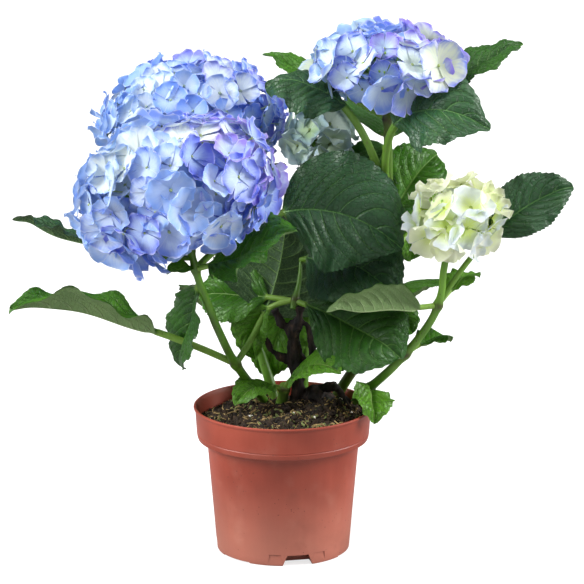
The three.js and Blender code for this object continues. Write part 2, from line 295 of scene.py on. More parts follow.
def add_uv(mesh: bpy.types.Mesh, name: str, per_vertex: np.ndarray) -> None:
    """Stores a UV map whose coordinates are given for each vertex."""
    corners = np.zeros(len(mesh.loops), np.int32)
    mesh.loops.foreach_get("vertex_index", corners)
    layer = mesh.uv_layers.new(name=name)
    layer.uv.foreach_set("vector", np.asarray(per_vertex, np.float32)[corners].ravel())


def put(name: str, mesh: bpy.types.Mesh, *materials: bpy.types.Material) -> bpy.types.Object:
    """Places a mesh in the scene as an object at the origin."""
    for material in materials:
        mesh.materials.append(material)
    obj = bpy.data.objects.new(name, mesh)
    bpy.context.scene.collection.objects.link(obj)
    return obj


def settle(obj: bpy.types.Object, name: str) -> bpy.types.Object:
    """Turns an object and its live modifiers into a plain mesh object of the given name."""
    graph = bpy.context.evaluated_depsgraph_get()
    mesh = bpy.data.meshes.new_from_object(obj.evaluated_get(graph),
                                           preserve_all_data_layers=True, depsgraph=graph)
    bpy.data.objects.remove(obj)
    mesh.name = name
    return put(name, mesh)


def hand_over(piece: bpy.types.Object, slot: str, *nodes: str) -> None:
    """Attaches a finished piece to its body and hides the frame's nodes that it stands for."""
    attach(piece, BODY)
    if nodes:
        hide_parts(*nodes)
    piece.data.calc_loop_triangles()
    LOG.info("%s: %d triangles", piece.name, len(piece.data.loop_triangles))


def unit(vectors: np.ndarray) -> np.ndarray:
    """The vectors at length one."""
    return vectors / np.maximum(np.linalg.norm(vectors, axis=-1, keepdims=True), 1e-12)


def smooth(low: float, high: float, value: np.ndarray) -> np.ndarray:
    """0 below low, 1 above high, smooth between them."""
    x = np.clip((value - low) / (high - low), 0, 1)
    return x * x * (3 - 2 * x)


def node_points(node: str) -> np.ndarray:
    """The vertices of a frame node."""
    mesh = frame["nodes"][node].data
    points = np.zeros(3 * len(mesh.vertices), np.float32)
    mesh.vertices.foreach_get("co", points)
    return points.reshape(-1, 3).astype(float)


def middle_and_half(node: str) -> tuple[np.ndarray, np.ndarray]:
    """The middle of a frame node's box, and the half of its sizes."""
    low, high = (np.array(corner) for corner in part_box(node))
    return (low + high) / 2, (high - low) / 2


def turns(count: int) -> np.ndarray:
    """Evenly spaced angles of a full turn."""
    return np.arange(count) * math.tau / count


def spun(points: np.ndarray, turn: float) -> np.ndarray:
    """Points turned about the vertical axis."""
    cos, sin = math.cos(turn), math.sin(turn)
    return points @ np.array([[cos, sin, 0], [-sin, cos, 0], [0, 0, 1]])


def across(points: np.ndarray) -> tuple[np.ndarray, np.ndarray]:
    """Two directions square to a line at each of its points."""
    back = np.array([0.0, 1.0, 0.0])
    along = unit(np.gradient(points, axis=0))
    first = unit(back - along * (along @ back)[:, None])
    return first, np.cross(along, first)


def tube(points: np.ndarray, radii: np.ndarray, sides: int) -> Solid:
    """A closed tube round a line.

    Args:
        points: the line.
        radii: one radius for each point, or one for each point and side.
        sides: how many sides the tube has.

    Returns:
        Its vertices and its faces.
    """
    first, second = across(points)
    turn = turns(sides)[None, :, None]
    radii = np.broadcast_to(np.asarray(radii, float).reshape(len(points), -1), (len(points), sides))
    ring = np.cos(turn) * first[:, None] + np.sin(turn) * second[:, None]
    body = points[:, None] + ring * radii[:, :, None]
    vertices = np.concatenate([body.reshape(-1, 3), points[:1], points[-1:]])
    return vertices, tube_faces(len(points), sides)


def tube_faces(rows: int, sides: int) -> list[np.ndarray]:
    """Faces of a closed tube: its wall, and a fan at each end round the last two vertices."""
    grid = np.arange(rows * sides).reshape(rows, sides)
    after = np.roll(grid, -1, axis=1)
    wall = np.stack([grid[:-1], after[:-1], after[1:], grid[1:]], axis=-1).reshape(-1, 4)
    foot = np.stack([after[0], grid[0], np.full(sides, rows * sides)], axis=-1)
    tip = np.stack([grid[-1], after[-1], np.full(sides, rows * sides + 1)], axis=-1)
    return [wall, foot, tip]


def join(parts: list[Solid]) -> Solid:
    """Several sets of vertices and faces as one."""
    faces, start = [], 0
    for points, groups in parts:
        faces.extend(group + start for group in groups)
        start += len(points)
    return np.concatenate([points for points, _ in parts]), faces


def curve(points: list[Triple], count: int) -> np.ndarray:
    """A smooth line through a few points, with evenly spaced places along it."""
    steps = 24
    route = np.array(points, float)
    ends = np.concatenate([[2 * route[0] - route[1]], route, [2 * route[-1] - route[-2]]])
    line = []
    for a, b, c, d in zip(ends, ends[1:], ends[2:], ends[3:]):
        for t in np.linspace(0, 1, steps, endpoint=False):
            line.append(0.5 * (2 * b + (c - a) * t + (2 * a - 5 * b + 4 * c - d) * t * t
                               + (3 * b - a - 3 * c + d) * t ** 3))
    line = np.array(line + [route[-1]])
    length = np.concatenate([[0], np.cumsum(np.linalg.norm(np.diff(line, axis=0), axis=1))])
    places = np.linspace(0, length[-1], count)
    return np.stack([np.interp(places, length, line[:, i]) for i in range(3)], axis=1)


# ---- geometry node trees ------------------------------------------------------------------------


class Growth(Tree):
    """A geometry node tree with named inputs, run once on an object."""

    KINDS = {bool: "NodeSocketBool", int: "NodeSocketInt", float: "NodeSocketFloat",
             tuple: "NodeSocketVector", bpy.types.Collection: "NodeSocketCollection",
             bpy.types.Object: "NodeSocketObject", bpy.types.Material: "NodeSocketMaterial"}

    def __init__(self, name: str, values: dict[str, object]) -> None:
        """Makes the tree, with one input for each named value."""
        super().__init__(bpy.data.node_groups.new(name, "GeometryNodeTree"))
        face = self.tree.interface
        face.new_socket("Geometry", in_out="INPUT", socket_type="NodeSocketGeometry")
        face.new_socket("Geometry", in_out="OUTPUT", socket_type="NodeSocketGeometry")
        self.values = {}
        for label, value in values.items():
            kind = next(k for t, k in self.KINDS.items() if isinstance(value, t))
            socket = face.new_socket(label, in_out="INPUT", socket_type=kind)
            self.values[socket.identifier] = value
        self.inputs = self.add("NodeGroupInput").outputs

    def end(self, geometry: Socket, material: Socket) -> None:
        """Ends the tree in real geometry with its material set."""
        real = self.add("GeometryNodeRealizeInstances", {0: geometry}).outputs[0]
        dressed = self.add("GeometryNodeSetMaterial", {"Geometry": real, "Material": material})
        self.add("NodeGroupOutput", {0: dressed.outputs[0]})

    def run(self, obj: bpy.types.Object, name: str) -> bpy.types.Object:
        """Grows the tree on an object, which it uses up, and returns the plain piece."""
        modifier = obj.modifiers.new("growth", "NODES")
        modifier.node_group = self.tree
        for identifier, value in self.values.items():
            modifier[identifier] = value
        return settle(obj, name)

    def random(self, low: float, high: float, seed: int) -> Socket:
        """A random number for each element."""
        return self.add("FunctionNodeRandomValue", {2: low, 3: high, "Seed": seed},
                        data_type="FLOAT").outputs[1]

    def field(self, kind: str) -> Socket:
        """The position or the normal of each element."""
        return self.add("GeometryNodeInput" + kind).outputs[0]

    def named(self, name: str) -> Socket:
        """A vector that was stored under a name."""
        return self.add("GeometryNodeInputNamedAttribute", {"Name": name},
                        data_type="FLOAT_VECTOR").outputs[0]

    def stored(self, geometry: Socket, name: str, value: Socket, kind: str, domain: str) -> Socket:
        """The geometry with a value stored under a name."""
        return self.add("GeometryNodeStoreNamedAttribute",
                        {"Geometry": geometry, "Name": name, "Value": value},
                        data_type=kind, domain=domain).outputs[0]

    def moved(self, geometry: Socket, offset: Socket) -> Socket:
        """The geometry with its points moved."""
        return self.add("GeometryNodeSetPosition",
                        {"Geometry": geometry, "Offset": offset}).outputs[0]

    def strewn(self, ground: Socket, wanted: Socket, spacing: Socket, densest: float,
               seed: Socket) -> tuple[Socket, Socket, Socket]:
        """Points on the wanted ground at a least distance, with their normals and rotations."""
        return tuple(self.add("GeometryNodeDistributePointsOnFaces", {
            "Mesh": ground, "Selection": wanted, "Distance Min": spacing, "Density Max": densest,
            "Density Factor": 1.0, "Seed": seed}, distribute_method="POISSON").outputs)

    def turned(self, rotation: Socket, *lean: Socket) -> Socket:
        """The rotation with an angle added about each of its own axes."""
        angles = self.add("FunctionNodeEulerToRotation", {0: self.whole(*lean)}).outputs[0]
        return self.add("FunctionNodeRotateRotation", {0: rotation, 1: angles},
                        rotation_space="LOCAL").outputs[0]


# ---- flower heads -------------------------------------------------------------------------------


class Sepal(Enum):
    """Outlines of a sepal: its half width at five shares of its length."""

    ROUND = (0.1, 0.6, 0.98, 0.92, 0.5)
    BROAD = (0.12, 0.68, 1.08, 0.98, 0.54)
    POINTED = (0.1, 0.6, 0.98, 0.68, 0.08)
    CURLED = (0.1, 0.56, 0.94, 0.84, 0.4)


@dataclass(frozen=True)
class Floret:
    """A flower of four sepals round a bud, on a short stalk.

    Its petal map gives each vertex a place across and along the sepal. The bud and the stalk have
    places of their own below the sepals' foot.
    """

    outline: Sepal
    length: float = 0.0165
    half_width: float = 0.0104
    cup: float = 0.0034
    ruffle: float = 0.0007
    stalk: float = 0.012
    seed: int = 1

    SHARES = (0.0, 0.32, 0.62, 0.86, 1.0)
    ACROSS = (-1.0, -0.55, 0.0, 0.55, 1.0)
    LENGTHS = (0.9, 1.06)
    WIDTHS = (0.92, 1.06)
    CUPS = (0.1, 1.3)
    CUP_SPREAD = (-0.25, 0.35)
    TURN_SPREAD = (-8, 8)
    FOOT_RADIUS = 0.0008
    TIP_ROUNDING = 0.19
    TWIST = 0.0012
    CURLS = (0.03, 0.22)
    EXTRA_CURL = 0.22
    OVERLAP = 0.0011
    BUD_HEIGHTS = (-0.0004, 0.0011, 0.0021)
    BUD_RADII = (0.0012, 0.0015, 0.0006)
    STALK_RADII = (0.0008, 0.0007)
    MAP_HALF = 0.44
    MAP_FOOT = 0.14
    MAP_RUN = 0.82
    MAP_BUD_TOP = 0.11
    BUD_PLACE = (0.5, 0.06)
    STALK_PLACE = (0.12, 0.06)
    PLACE_SPREAD = 0.02

    def sepal(self, turn: float, cup: float,
              chance: np.random.Generator) -> tuple[np.ndarray, np.ndarray]:
        """One sepal's points and petal coordinates, turned round the bud."""
        share, side = np.meshgrid(self.SHARES, self.ACROSS, indexing="ij")
        half = np.interp(share, self.SHARES, self.outline.value)
        length = self.length * chance.uniform(*self.LENGTHS)
        x = side * half * self.half_width * chance.uniform(*self.WIDTHS)
        y = self.FOOT_RADIUS + length * (share - self.TIP_ROUNDING * side ** 2 * share ** 2)
        z = cup * (share ** 1.5 - 0.25 * share ** 4)
        z += self.TWIST * side * share * chance.choice((-1, 1))
        curl = chance.uniform(*self.CURLS) + self.EXTRA_CURL * (self.outline is Sepal.CURLED)
        z += side ** 2 * share * self.length * curl
        z += self.ruffle * np.sin(3.1 * side + chance.uniform(0, 6.3)) * share ** 2
        points = spun(np.stack([x, y, z], axis=-1).reshape(-1, 3), turn)
        petal = [0.5 + self.MAP_HALF * side, self.MAP_FOOT + self.MAP_RUN * share]
        return points, np.stack(petal, axis=-1).reshape(-1, 2)

    def make(self, name: str) -> bpy.types.Object:
        """Builds the floret, facing up, as an object outside the scene."""
        chance = np.random.default_rng(self.seed)
        rows, columns = len(self.SHARES), len(self.ACROSS)
        grid = np.arange(rows * columns).reshape(rows, columns)
        quads = np.stack([grid[:-1, :-1], grid[:-1, 1:], grid[1:, 1:], grid[1:, :-1]], -1)
        parts, petals = [], []
        cup = self.cup * chance.uniform(*self.CUPS)
        for k in range(4):
            turn = math.radians(90 * k + chance.uniform(*self.TURN_SPREAD))
            own_cup = cup + self.cup * chance.uniform(*self.CUP_SPREAD)
            points, petal = self.sepal(turn, own_cup, chance)
            points[:, 2] += self.OVERLAP * (k % 2)
            parts.append((points, [quads.reshape(-1, 4)]))
            petals.append(petal)
        bud = tube(np.array([[0, 0, height] for height in self.BUD_HEIGHTS]),
                   np.array(self.BUD_RADII), 5)
        stalk = tube(np.array([[0, 0, 0], [0, 0, -self.stalk]]), np.array(self.STALK_RADII), 3)
        for part, place in ((bud, self.BUD_PLACE), (stalk, self.STALK_PLACE)):
            parts.append(part)
            spread = self.PLACE_SPREAD * np.sin(np.arange(len(part[0])))[:, None]
            petals.append(np.tile(place, (len(part[0]), 1)) + spread)
        points, faces = join(parts)
        mesh = make_mesh(name, points, faces)
        add_uv(mesh, "petal", np.concatenate(petals))
        return bpy.data.objects.new(name, mesh)


@dataclass(frozen=True)
class PetalFinish:
    """Soft petals: margins that change with the column of the atlas, hearts with its row, and a
    pale rim painted along each sepal's edge as a highlight.
    """

    name: str
    margins: tuple[str, str, str, str]
    hearts: tuple[str, str, str, str]
    bud: str
    reach: float = 0.5
    # The colour of the painted highlight along each sepal's edge.
    rim: str = "F4F6FF"
    through: float = 0.24
    rim_highlight_share: float = 0.45
    vein_share: float = 0.14
    roughness: float = 0.5
    vein_depth: float = 0.0005
    vein_lines: float = 17.0
    fade: tuple[float, float] = (0.3, 0.34)
    edge: tuple[float, float] = (0.88, 1.0)

    def make(self) -> bpy.types.Material:
        """Builds the material, from the atlas coordinates alone."""
        s = Surface(self.name)
        uv = s.add("ShaderNodeUVMap", uv_map=ATLAS).outputs[0]
        cells = s.vector("MULTIPLY", uv, (ATLAS_SIDE,) * 3)
        x, y, _ = s.parts(cells)
        column, row = s.math("FLOOR", x), s.math("FLOOR", y)
        u, v = s.minus(x, column), s.minus(y, row)
        margin = self.picked(s, column, self.margins)
        heart = self.picked(s, row, self.hearts)
        side = s.times(s.math("ABSOLUTE", s.minus(u, 0.5)), 1 / Floret.MAP_HALF)
        share = s.times(s.minus(v, Floret.MAP_FOOT), 1 / Floret.MAP_RUN)
        lines = s.whole(s.times(u, self.vein_lines), s.times(v, 1.8),
                        s.line(row, float(ATLAS_SIDE), column))
        veins = s.noise(lines, 1.0, 2.0)
        outward = s.times(share, s.line(s.times(side, side), 0.45, 0.75))
        outward = s.plus(outward, s.line(veins, 0.22, -0.11))
        outward = s.plus(outward, s.line(s.noise(cells, 3.1, 2.0), 0.4, -0.2))
        reach = s.line(row, 0.09, self.reach - 0.12)
        blush = s.step(s.minus(reach, self.fade[0]), s.plus(reach, self.fade[1]), outward)
        colour = s.blend(blush, heart, margin)
        colour = s.blend(s.times(s.step(0.4, 0.75, veins), self.vein_share), colour, margin)
        # Painted highlight: a pale rim along each sepal's edge, where its thin margin catches the
        # light.
        edge = s.step(*self.edge, s.math("MAXIMUM", side, share))
        colour = s.tinge(colour, self.rim, edge, self.rim_highlight_share)
        colour = s.tinge(colour, self.bud, s.math("LESS_THAN", v, Floret.MAP_BUD_TOP), 1.0)
        bumped = s.bump(veins, 0.3, self.vein_depth)
        return s.finish(colour, self.roughness, bumped, colour, self.through)

    @staticmethod
    def picked(s: Surface, number: Socket, colours: tuple[str, ...]) -> Socket:
        """The colour with a number, counted from 0."""
        size = 1 / len(colours)
        stops = [(place * size, code) for place, code in enumerate(colours)]
        return s.ramp(s.line(number, size, size / 2), stops, "CONSTANT")


class Layer(Enum):
    """A layer of florets: its input for the depth, and its shares of the spacing and the growth."""

    OUTER = ("Inset", 1.0, 1.0)
    INNER = ("Inner inset", 0.95, 0.85)


@dataclass(frozen=True)
class FlowerHead:
    """A mophead: florets that stand on the frame's dome."""

    node: str
    slot: str
    finish: PetalFinish
    florets: tuple[Floret, ...]
    spacing: float = 0.0165
    inset: float = 0.007
    inner_inset: float = 0.02
    smallest: float = 0.82
    largest: float = 1.12
    tilt: float = 0.36
    crown: Triple = (0.0, 0.0, 1.0)
    lowest: float = -0.85
    blush_side: Triple = (1.0, 0.0, 0.6)
    seed: int = 1

    DENSEST = 30000.0
    HUE_SCALE = 14.0
    HEART_SCALE = 23.0
    HUE_CHANCE = 0.22
    HEART_CHANCE = 0.3

    def dome(self) -> bpy.types.Object:
        """A copy of the frame's dome with its corners merged."""
        mesh = frame["nodes"][self.node].data.copy()
        mesh.materials.clear()
        shell = bmesh.new()
        shell.from_mesh(mesh)
        bmesh.ops.remove_doubles(shell, verts=shell.verts, dist=1e-5)
        shell.to_mesh(mesh)
        shell.free()
        return put(self.node + "_dome", mesh)

    def growth(self, florets: bpy.types.Collection, material: bpy.types.Material) -> Growth:
        """The tree that spreads florets over the dome, an outer layer and a smaller inner one."""
        centre, half = middle_and_half(self.node)
        g = Growth("blossom", {
            "Florets": florets, "Kinds": len(self.florets), "Spacing": self.spacing,
            "Inset": self.inset, "Inner inset": self.inner_inset, "Smallest": self.smallest,
            "Largest": self.largest, "Tilt": self.tilt, "Crown": self.crown,
            "Lowest": self.lowest, "Middle": tuple(centre), "Reach": float(half[0]),
            "Blush side": self.blush_side, "Seed": self.seed, "Material": material})
        i = g.inputs
        skin = g.add("GeometryNodeSubdivisionSurface",
                     {"Mesh": i["Geometry"], "Level": 2}).outputs[0]
        kinds = g.add("GeometryNodeCollectionInfo", {
            "Collection": i["Florets"], "Separate Children": True,
            "Reset Children": True}).outputs[0]
        joined = g.add("GeometryNodeJoinGeometry")
        for number, layer in enumerate(Layer, start=1):
            g.feed(joined.inputs[0], self.layer(g, skin, kinds, layer, number))
        real = g.add("GeometryNodeRealizeInstances", {0: joined.outputs[0]}).outputs[0]
        atlas = g.scaled(g.vector("ADD", g.named("petal"), g.named("cell")), 1 / ATLAS_SIDE)
        mapped = g.stored(real, ATLAS, atlas, "FLOAT2", "CORNER")
        for name in ("petal", "cell"):
            mapped = g.add("GeometryNodeRemoveAttribute",
                           {"Geometry": mapped, "Name": name}).outputs[0]
        g.end(mapped, i["Material"])
        return g

    def layer(self, g: Growth, skin: Socket, kinds: Socket, layer: Layer, number: int) -> Socket:
        """One layer of florets, at its depth under the dome's skin."""
        i = g.inputs
        depth, spread, size = layer.value
        shell = g.moved(skin, g.scaled(g.field("Normal"), g.times(i[depth], -1.0)))
        place = g.field("Position")
        apart = g.vector("SUBTRACT", place, i["Middle"])
        outward = g.vector("NORMALIZE", apart)
        height = g.vector("DOT_PRODUCT", outward, i["Crown"])
        points, skyward, _ = g.strewn(
            shell, g.math("GREATER_THAN", height, i["Lowest"]), g.times(i["Spacing"], spread),
            self.DENSEST, g.plus(i["Seed"], float(number)))
        facing = g.vector("ADD", outward, skyward)
        rotation = g.add("FunctionNodeAlignRotationToVector", {"Vector": facing},
                         axis="Z").outputs[0]
        tilts = [g.times(i["Tilt"], g.random(-1, 1, seed + number)) for seed in (31, 41)]
        growth = g.times(g.random(0, size, 61 + number), g.minus(i["Largest"], i["Smallest"]))
        return g.add("GeometryNodeInstanceOnPoints", {
            "Points": g.stored(points, "cell", self.cell(g, place, apart, number),
                               "FLOAT_VECTOR", "POINT"),
            "Instance": kinds, "Pick Instance": True,
            "Instance Index": g.math("FLOOR", g.times(g.random(0, 0.999, 71 + number), i["Kinds"])),
            "Rotation": g.turned(rotation, *tilts, g.random(0, math.tau, 51 + number)),
            "Scale": g.plus(i["Smallest"], growth)}).outputs[0]

    def cell(self, g: Growth, place: Socket, apart: Socket, number: int) -> Socket:
        """Each floret's cell of the atlas: its hue by column and its heart by row.

        The hue leans toward the blush side. Both drift softly over the head.
        """
        side = g.math("DIVIDE", g.vector("DOT_PRODUCT", apart, g.inputs["Blush side"]),
                      g.inputs["Reach"])
        drift = g.line(g.noise(place, self.HUE_SCALE, 1.0), 1.2, -0.6)
        hue = g.plus(g.line(side, 0.36, 0.42), drift)
        hue = g.plus(hue, g.random(-self.HUE_CHANCE, self.HUE_CHANCE, 11 + number))
        heart = g.line(g.noise(place, self.HEART_SCALE, 1.0), 1.8, -0.4)
        heart = g.plus(heart, g.random(-self.HEART_CHANCE, self.HEART_CHANCE, 21 + number))
        steps = [g.math("FLOOR", g.times(value, float(ATLAS_SIDE))) for value in (hue, heart)]
        return g.whole(*(g.math("MINIMUM", ATLAS_SIDE - 1.0, g.math("MAXIMUM", 0.0, step))
                         for step in steps))

    def build(self) -> None:
        """Grows the head on its dome."""
        kinds = bpy.data.collections.new(self.node + "_florets")
        for number, floret in enumerate(self.florets):
            kinds.objects.link(floret.make(f"{self.node}_floret_{number}"))
        growth = self.growth(kinds, self.finish.make())
        head = growth.run(self.dome(), self.node + "_blossom")
        for obj in list(kinds.objects):
            bpy.data.objects.remove(obj)
        bpy.data.collections.remove(kinds)
        hand_over(head, self.slot, self.node)


def floret_set(outlines: tuple[Sepal, ...], **sizes: float) -> tuple[Floret, ...]:
    """Florets of the given outlines in turn, each with its own chances."""
    count, first_seed = 6, 3
    return tuple(Floret(outlines[n % len(outlines)], seed=n + first_seed, **sizes)
                 for n in range(count))


HEADS = (
    FlowerHead("flower_head_front", "petal_blue",
               PetalFinish("petals_front", ("98BCF6", "819DEE", "6E7CE4", "A28CE8"),
                           ("B2CCF6", "C8DCFA", "DCEAFB", "ECF5EE"), "B4C58C", reach=0.52),
               floret_set((Sepal.ROUND, Sepal.BROAD), length=0.0198, half_width=0.0114, cup=0.0068),
               spacing=0.0156, inset=0.0095, smallest=0.6, largest=1.06, tilt=0.46,
               crown=(-0.36, -0.3, 0.88), lowest=-0.7, seed=4),
    FlowerHead("flower_head_back", "petal_blue",
               PetalFinish("petals_back", ("94BAF6", "7CA2F0", "6888E6", "7A80E2"),
                           ("A9C8F7", "BED7FA", "D2E5FB", "E4F1F9"), "B0C6AC", reach=0.48),
               floret_set((Sepal.ROUND, Sepal.BROAD), length=0.0156, half_width=0.0092, cup=0.0056),
               spacing=0.0132, inset=0.0085, smallest=0.68, largest=1.06, tilt=0.46, lowest=-0.9,
               seed=9),
    FlowerHead("flower_head_top", "petal_blue",
               PetalFinish("petals_top", ("9FC5F7", "83A4F0", "7182E7", "8E7EE5"),
                           ("C6DDF9", "D8EAFA", "E6F4EA", "EEF7DA"), "C2D688", reach=0.54),
               floret_set((Sepal.POINTED, Sepal.ROUND), length=0.0205, half_width=0.0120,
                          cup=0.0076),
               spacing=0.0172, inset=0.0122, smallest=0.66, largest=1.06, tilt=0.46, seed=15),
    FlowerHead("flower_head_cream", "petal_cream",
               PetalFinish("petals_cream", ("FFFFF4", "F6FADA", "E6EEF6", "B4D0F4"),
                           ("E6F29C", "DAEC82", "F4FAC8", "FFFFF2"), "B0C45C", reach=0.42,
                           rim="FFFFFA", through=0.42),
               floret_set((Sepal.CURLED, Sepal.ROUND), length=0.0176, half_width=0.0106,
                          cup=0.0066),
               spacing=0.0146, inset=0.0085, tilt=0.56, blush_side=(-0.3, -0.5, -0.9),
               lowest=-0.95, seed=22),
    # The pale head's petal colours are darkened as painted shade, for the shadow it sits in behind
    # the other heads; their grey-green hue is its own.
    FlowerHead("flower_head_pale", "petal_pale",
               PetalFinish("petals_pale_painted_shade", ("A8BEC6", "94AEB8", "8CA8A8", "A6BCC8"),
                           ("98B486", "A8C09A", "BCD0B4", "CCDCD0"), "7F9258", rim="D4E0DA"),
               floret_set((Sepal.ROUND, Sepal.CURLED), length=0.0178, half_width=0.0106,
                          cup=0.0048),
               spacing=0.015, inset=0.009, seed=30),
)


# ---- stems --------------------------------------------------------------------------------------


@dataclass(frozen=True)
class Stem:
    """A green stem along the middle of the frame's stem, swollen at its leaf joints."""

    node: str
    foot: float
    tip: float
    joints: tuple[float, ...] = ()
    head: str = ""
    age: float = 0.4

    STEPS = 26
    SIDES = 14
    SINK = 0.006
    JOINT_SWELL = 0.0014
    JOINT_SPREAD = 0.0036
    RING_SPREAD = 0.0028
    RIB_DEPTH = 0.035
    ROWS = 100
    WAVES = 40
    HEAD_REACH = 0.45
    RAY_REACH = 0.66
    RAY_LOWEST = -0.45
    RAY_RADII = (0.0015, 0.0008)
    RAY_ROWS = 7

    def middle(self) -> np.ndarray:
        """The line through the middle of the frame's stem, from its foot up."""
        mesh = frame["nodes"][self.node].data
        points = node_points(self.node)
        edges = np.zeros(2 * len(mesh.edges), np.int32)
        mesh.edges.foreach_get("vertices", edges)
        starts, ends = points[edges[::2]], points[edges[1::2]]
        low, high = points[:, 2].min(), points[:, 2].max()
        line = []
        for level in np.linspace(low + 0.002, high - 0.004, self.STEPS):
            crossing = (starts[:, 2] - level) * (ends[:, 2] - level) < 0
            a, b = starts[crossing], ends[crossing]
            cut = a + (b - a) * ((level - a[:, 2]) / (b[:, 2] - a[:, 2]))[:, None]
            line.append((cut.min(axis=0) + cut.max(axis=0)) / 2)
        line = np.array(line)
        for _ in range(3):
            line[1:-1] = (line[:-2] + 2 * line[1:-1] + line[2:]) / 4
        return line

    def at(self, height: float) -> np.ndarray:
        """The point of the stem's middle at a height."""
        line = self.middle()
        return np.array([np.interp(height, line[:, 2], line[:, axis]) for axis in range(3)])

    def parts(self) -> tuple[list[Solid], np.ndarray]:
        """The tube from the compost into the flower head, the head's rays, and the bark values."""
        line = self.middle()
        line = np.concatenate([[line[0] - self.SINK * unit(line[2] - line[0])], line])
        if self.head:
            centre, half = middle_and_half(self.head)
            line = np.concatenate([line, [line[-1] + (centre - line[-1]) * self.HEAD_REACH]])
        fine = curve([tuple(p) for p in line[::3]] + [tuple(line[-1])], self.ROWS)
        share = np.linspace(0, 1, len(fine))
        radii = self.foot + (self.tip - self.foot) * share
        radii = radii + self.JOINT_SWELL * self.nearness(fine[:, 2], self.JOINT_SPREAD)
        ribs = np.sin(3 * turns(self.SIDES))[None] * np.cos(self.WAVES * share)[:, None]
        parts = [tube(fine, radii[:, None] * (1 + self.RIB_DEPTH * ribs), self.SIDES)]
        heights = parts[0][0][:, 2]
        bark = np.stack([0 * heights + self.age, self.nearness(heights, self.RING_SPREAD),
                         0 * heights], axis=1)
        if self.head:
            parts += self.rays(fine[-1], centre, half)
        rays = sum(len(part[0]) for part in parts[1:])
        return parts, np.concatenate([bark, np.zeros((rays, 3))])

    def nearness(self, heights: np.ndarray, spread: float) -> np.ndarray:
        """1 at a leaf joint, falling to 0 away from it."""
        return sum((np.exp(-((heights - joint) / spread) ** 2) for joint in self.joints),
                   np.zeros(len(heights)))

    def rays(self, crown: np.ndarray, centre: np.ndarray, half: np.ndarray) -> list[Solid]:
        """Thin stalks that spread from the stem's top to the florets."""
        chance = np.random.default_rng(int(1000 * half[0]))
        parts = []
        for _ in range(int(26 + 500 * half[0])):
            way = unit(chance.normal(size=3))
            way[2] = max(way[2], self.RAY_LOWEST)
            end = centre + way * half * self.RAY_REACH
            bend = crown + (end - crown) * 0.45 + np.array([0, 0, -0.08 * half[2]])
            line = curve([tuple(crown), tuple(bend), tuple(end)], self.RAY_ROWS)
            parts.append(tube(line, np.linspace(*self.RAY_RADII, self.RAY_ROWS), 5))
        return parts


@dataclass(frozen=True)
class StemFinish:
    """Satin green bark that browns with age, with brown flecks and brown leaf joints."""

    name: str = "green_stem"

    def make(self) -> bpy.types.Material:
        """Builds the material from the bark values: age and nearness to a leaf joint."""
        s = Surface(self.name)
        age, ring, _ = s.attribute("bark")
        tall = s.stretched(s.place, (1, 1, 0.28))
        streak = s.noise(tall, 90.0, 4.0)
        old = s.plus(age, s.line(streak, 0.6, -0.3))
        colour = s.ramp(old, [(0.0, "98C25C"), (0.25, "72A036"), (0.5, "4E7C1C"), (0.75, "4A501E"),
                              (1.0, "38261A")])
        fleck = s.times(s.specks(s.stretched(s.place, (1, 1, 0.4)), 520.0, 0.2, 160.0, 0.5),
                        s.step(0.1, 0.3, age))
        colour = s.tinge(colour, "40281A", fleck, 0.7)
        brown = s.times(ring, s.step(0.3, 0.55, s.noise(s.place, 120.0)))
        colour = s.tinge(colour, "3A2417", brown, 0.85)
        bumps = s.plus(s.noise(tall, 300.0, 4.0), s.times(fleck, 0.6))
        return s.finish(colour, 0.4, s.bump(bumps, 0.35, 0.0005))


STEMS = {
    "left": Stem("stem_left", 0.0036, 0.0027, (0.151, 0.236, 0.253), "flower_head_front", 0.5),
    "back_left": Stem("stem_back_left", 0.0042, 0.003, (0.162, 0.216, 0.259), "flower_head_back",
                      0.5),
    "centre": Stem("stem_centre", 0.0026, 0.0013, (0.198,), age=0.55),
    "back": Stem("stem_back", 0.0036, 0.0026, (0.154, 0.202, 0.225, 0.269), "flower_head_pale",
                 0.45),
    # stem_top's age of 0.66 browns it and also darkens it as painted shade, for the shadow it
    # stands in behind the leaves.
    "top": Stem("stem_top", 0.0042, 0.0032, (0.175, 0.227, 0.26, 0.274, 0.343), "flower_head_top",
                0.66),
    "right": Stem("stem_right", 0.0037, 0.0026, (0.128, 0.162, 0.204), "flower_head_cream", 0.36),
    "shoot": Stem("stem_shoot", 0.0052, 0.0034, (0.125,), age=0.12),
}


def build_stems() -> None:
    """Builds the stems, with the rays under the flower heads, as one piece."""
    grown = [stem.parts() for stem in STEMS.values()]
    mesh = make_mesh("stems", *join([part for parts, _ in grown for part in parts]))
    add_values(mesh, "bark", np.concatenate([bark for _, bark in grown]))
    hand_over(put("stems", mesh, StemFinish().make()), "green_stem",
              *(stem.node for stem in STEMS.values()))


# ---- leaves -------------------------------------------------------------------------------------


class Tone(Enum):
    """How dark a leaf is: old and glossy, grown, fresh, or young and lit through."""

    DEEP = 0.0
    GROWN = 0.35
    FRESH = 0.7
    YOUNG = 1.0


@dataclass
class LeafPart:
    """A built leaf.

    The blade coordinates are the share of the half width, the share of the blade's length, and the
    upper or lower side with the leaf's own number. The lay coordinates are the width and the
    length along the leaf, in metres, and its tone. The place is that in the atlas.
    """

    solid: Solid
    blade: np.ndarray
    lay: np.ndarray
    place: np.ndarray


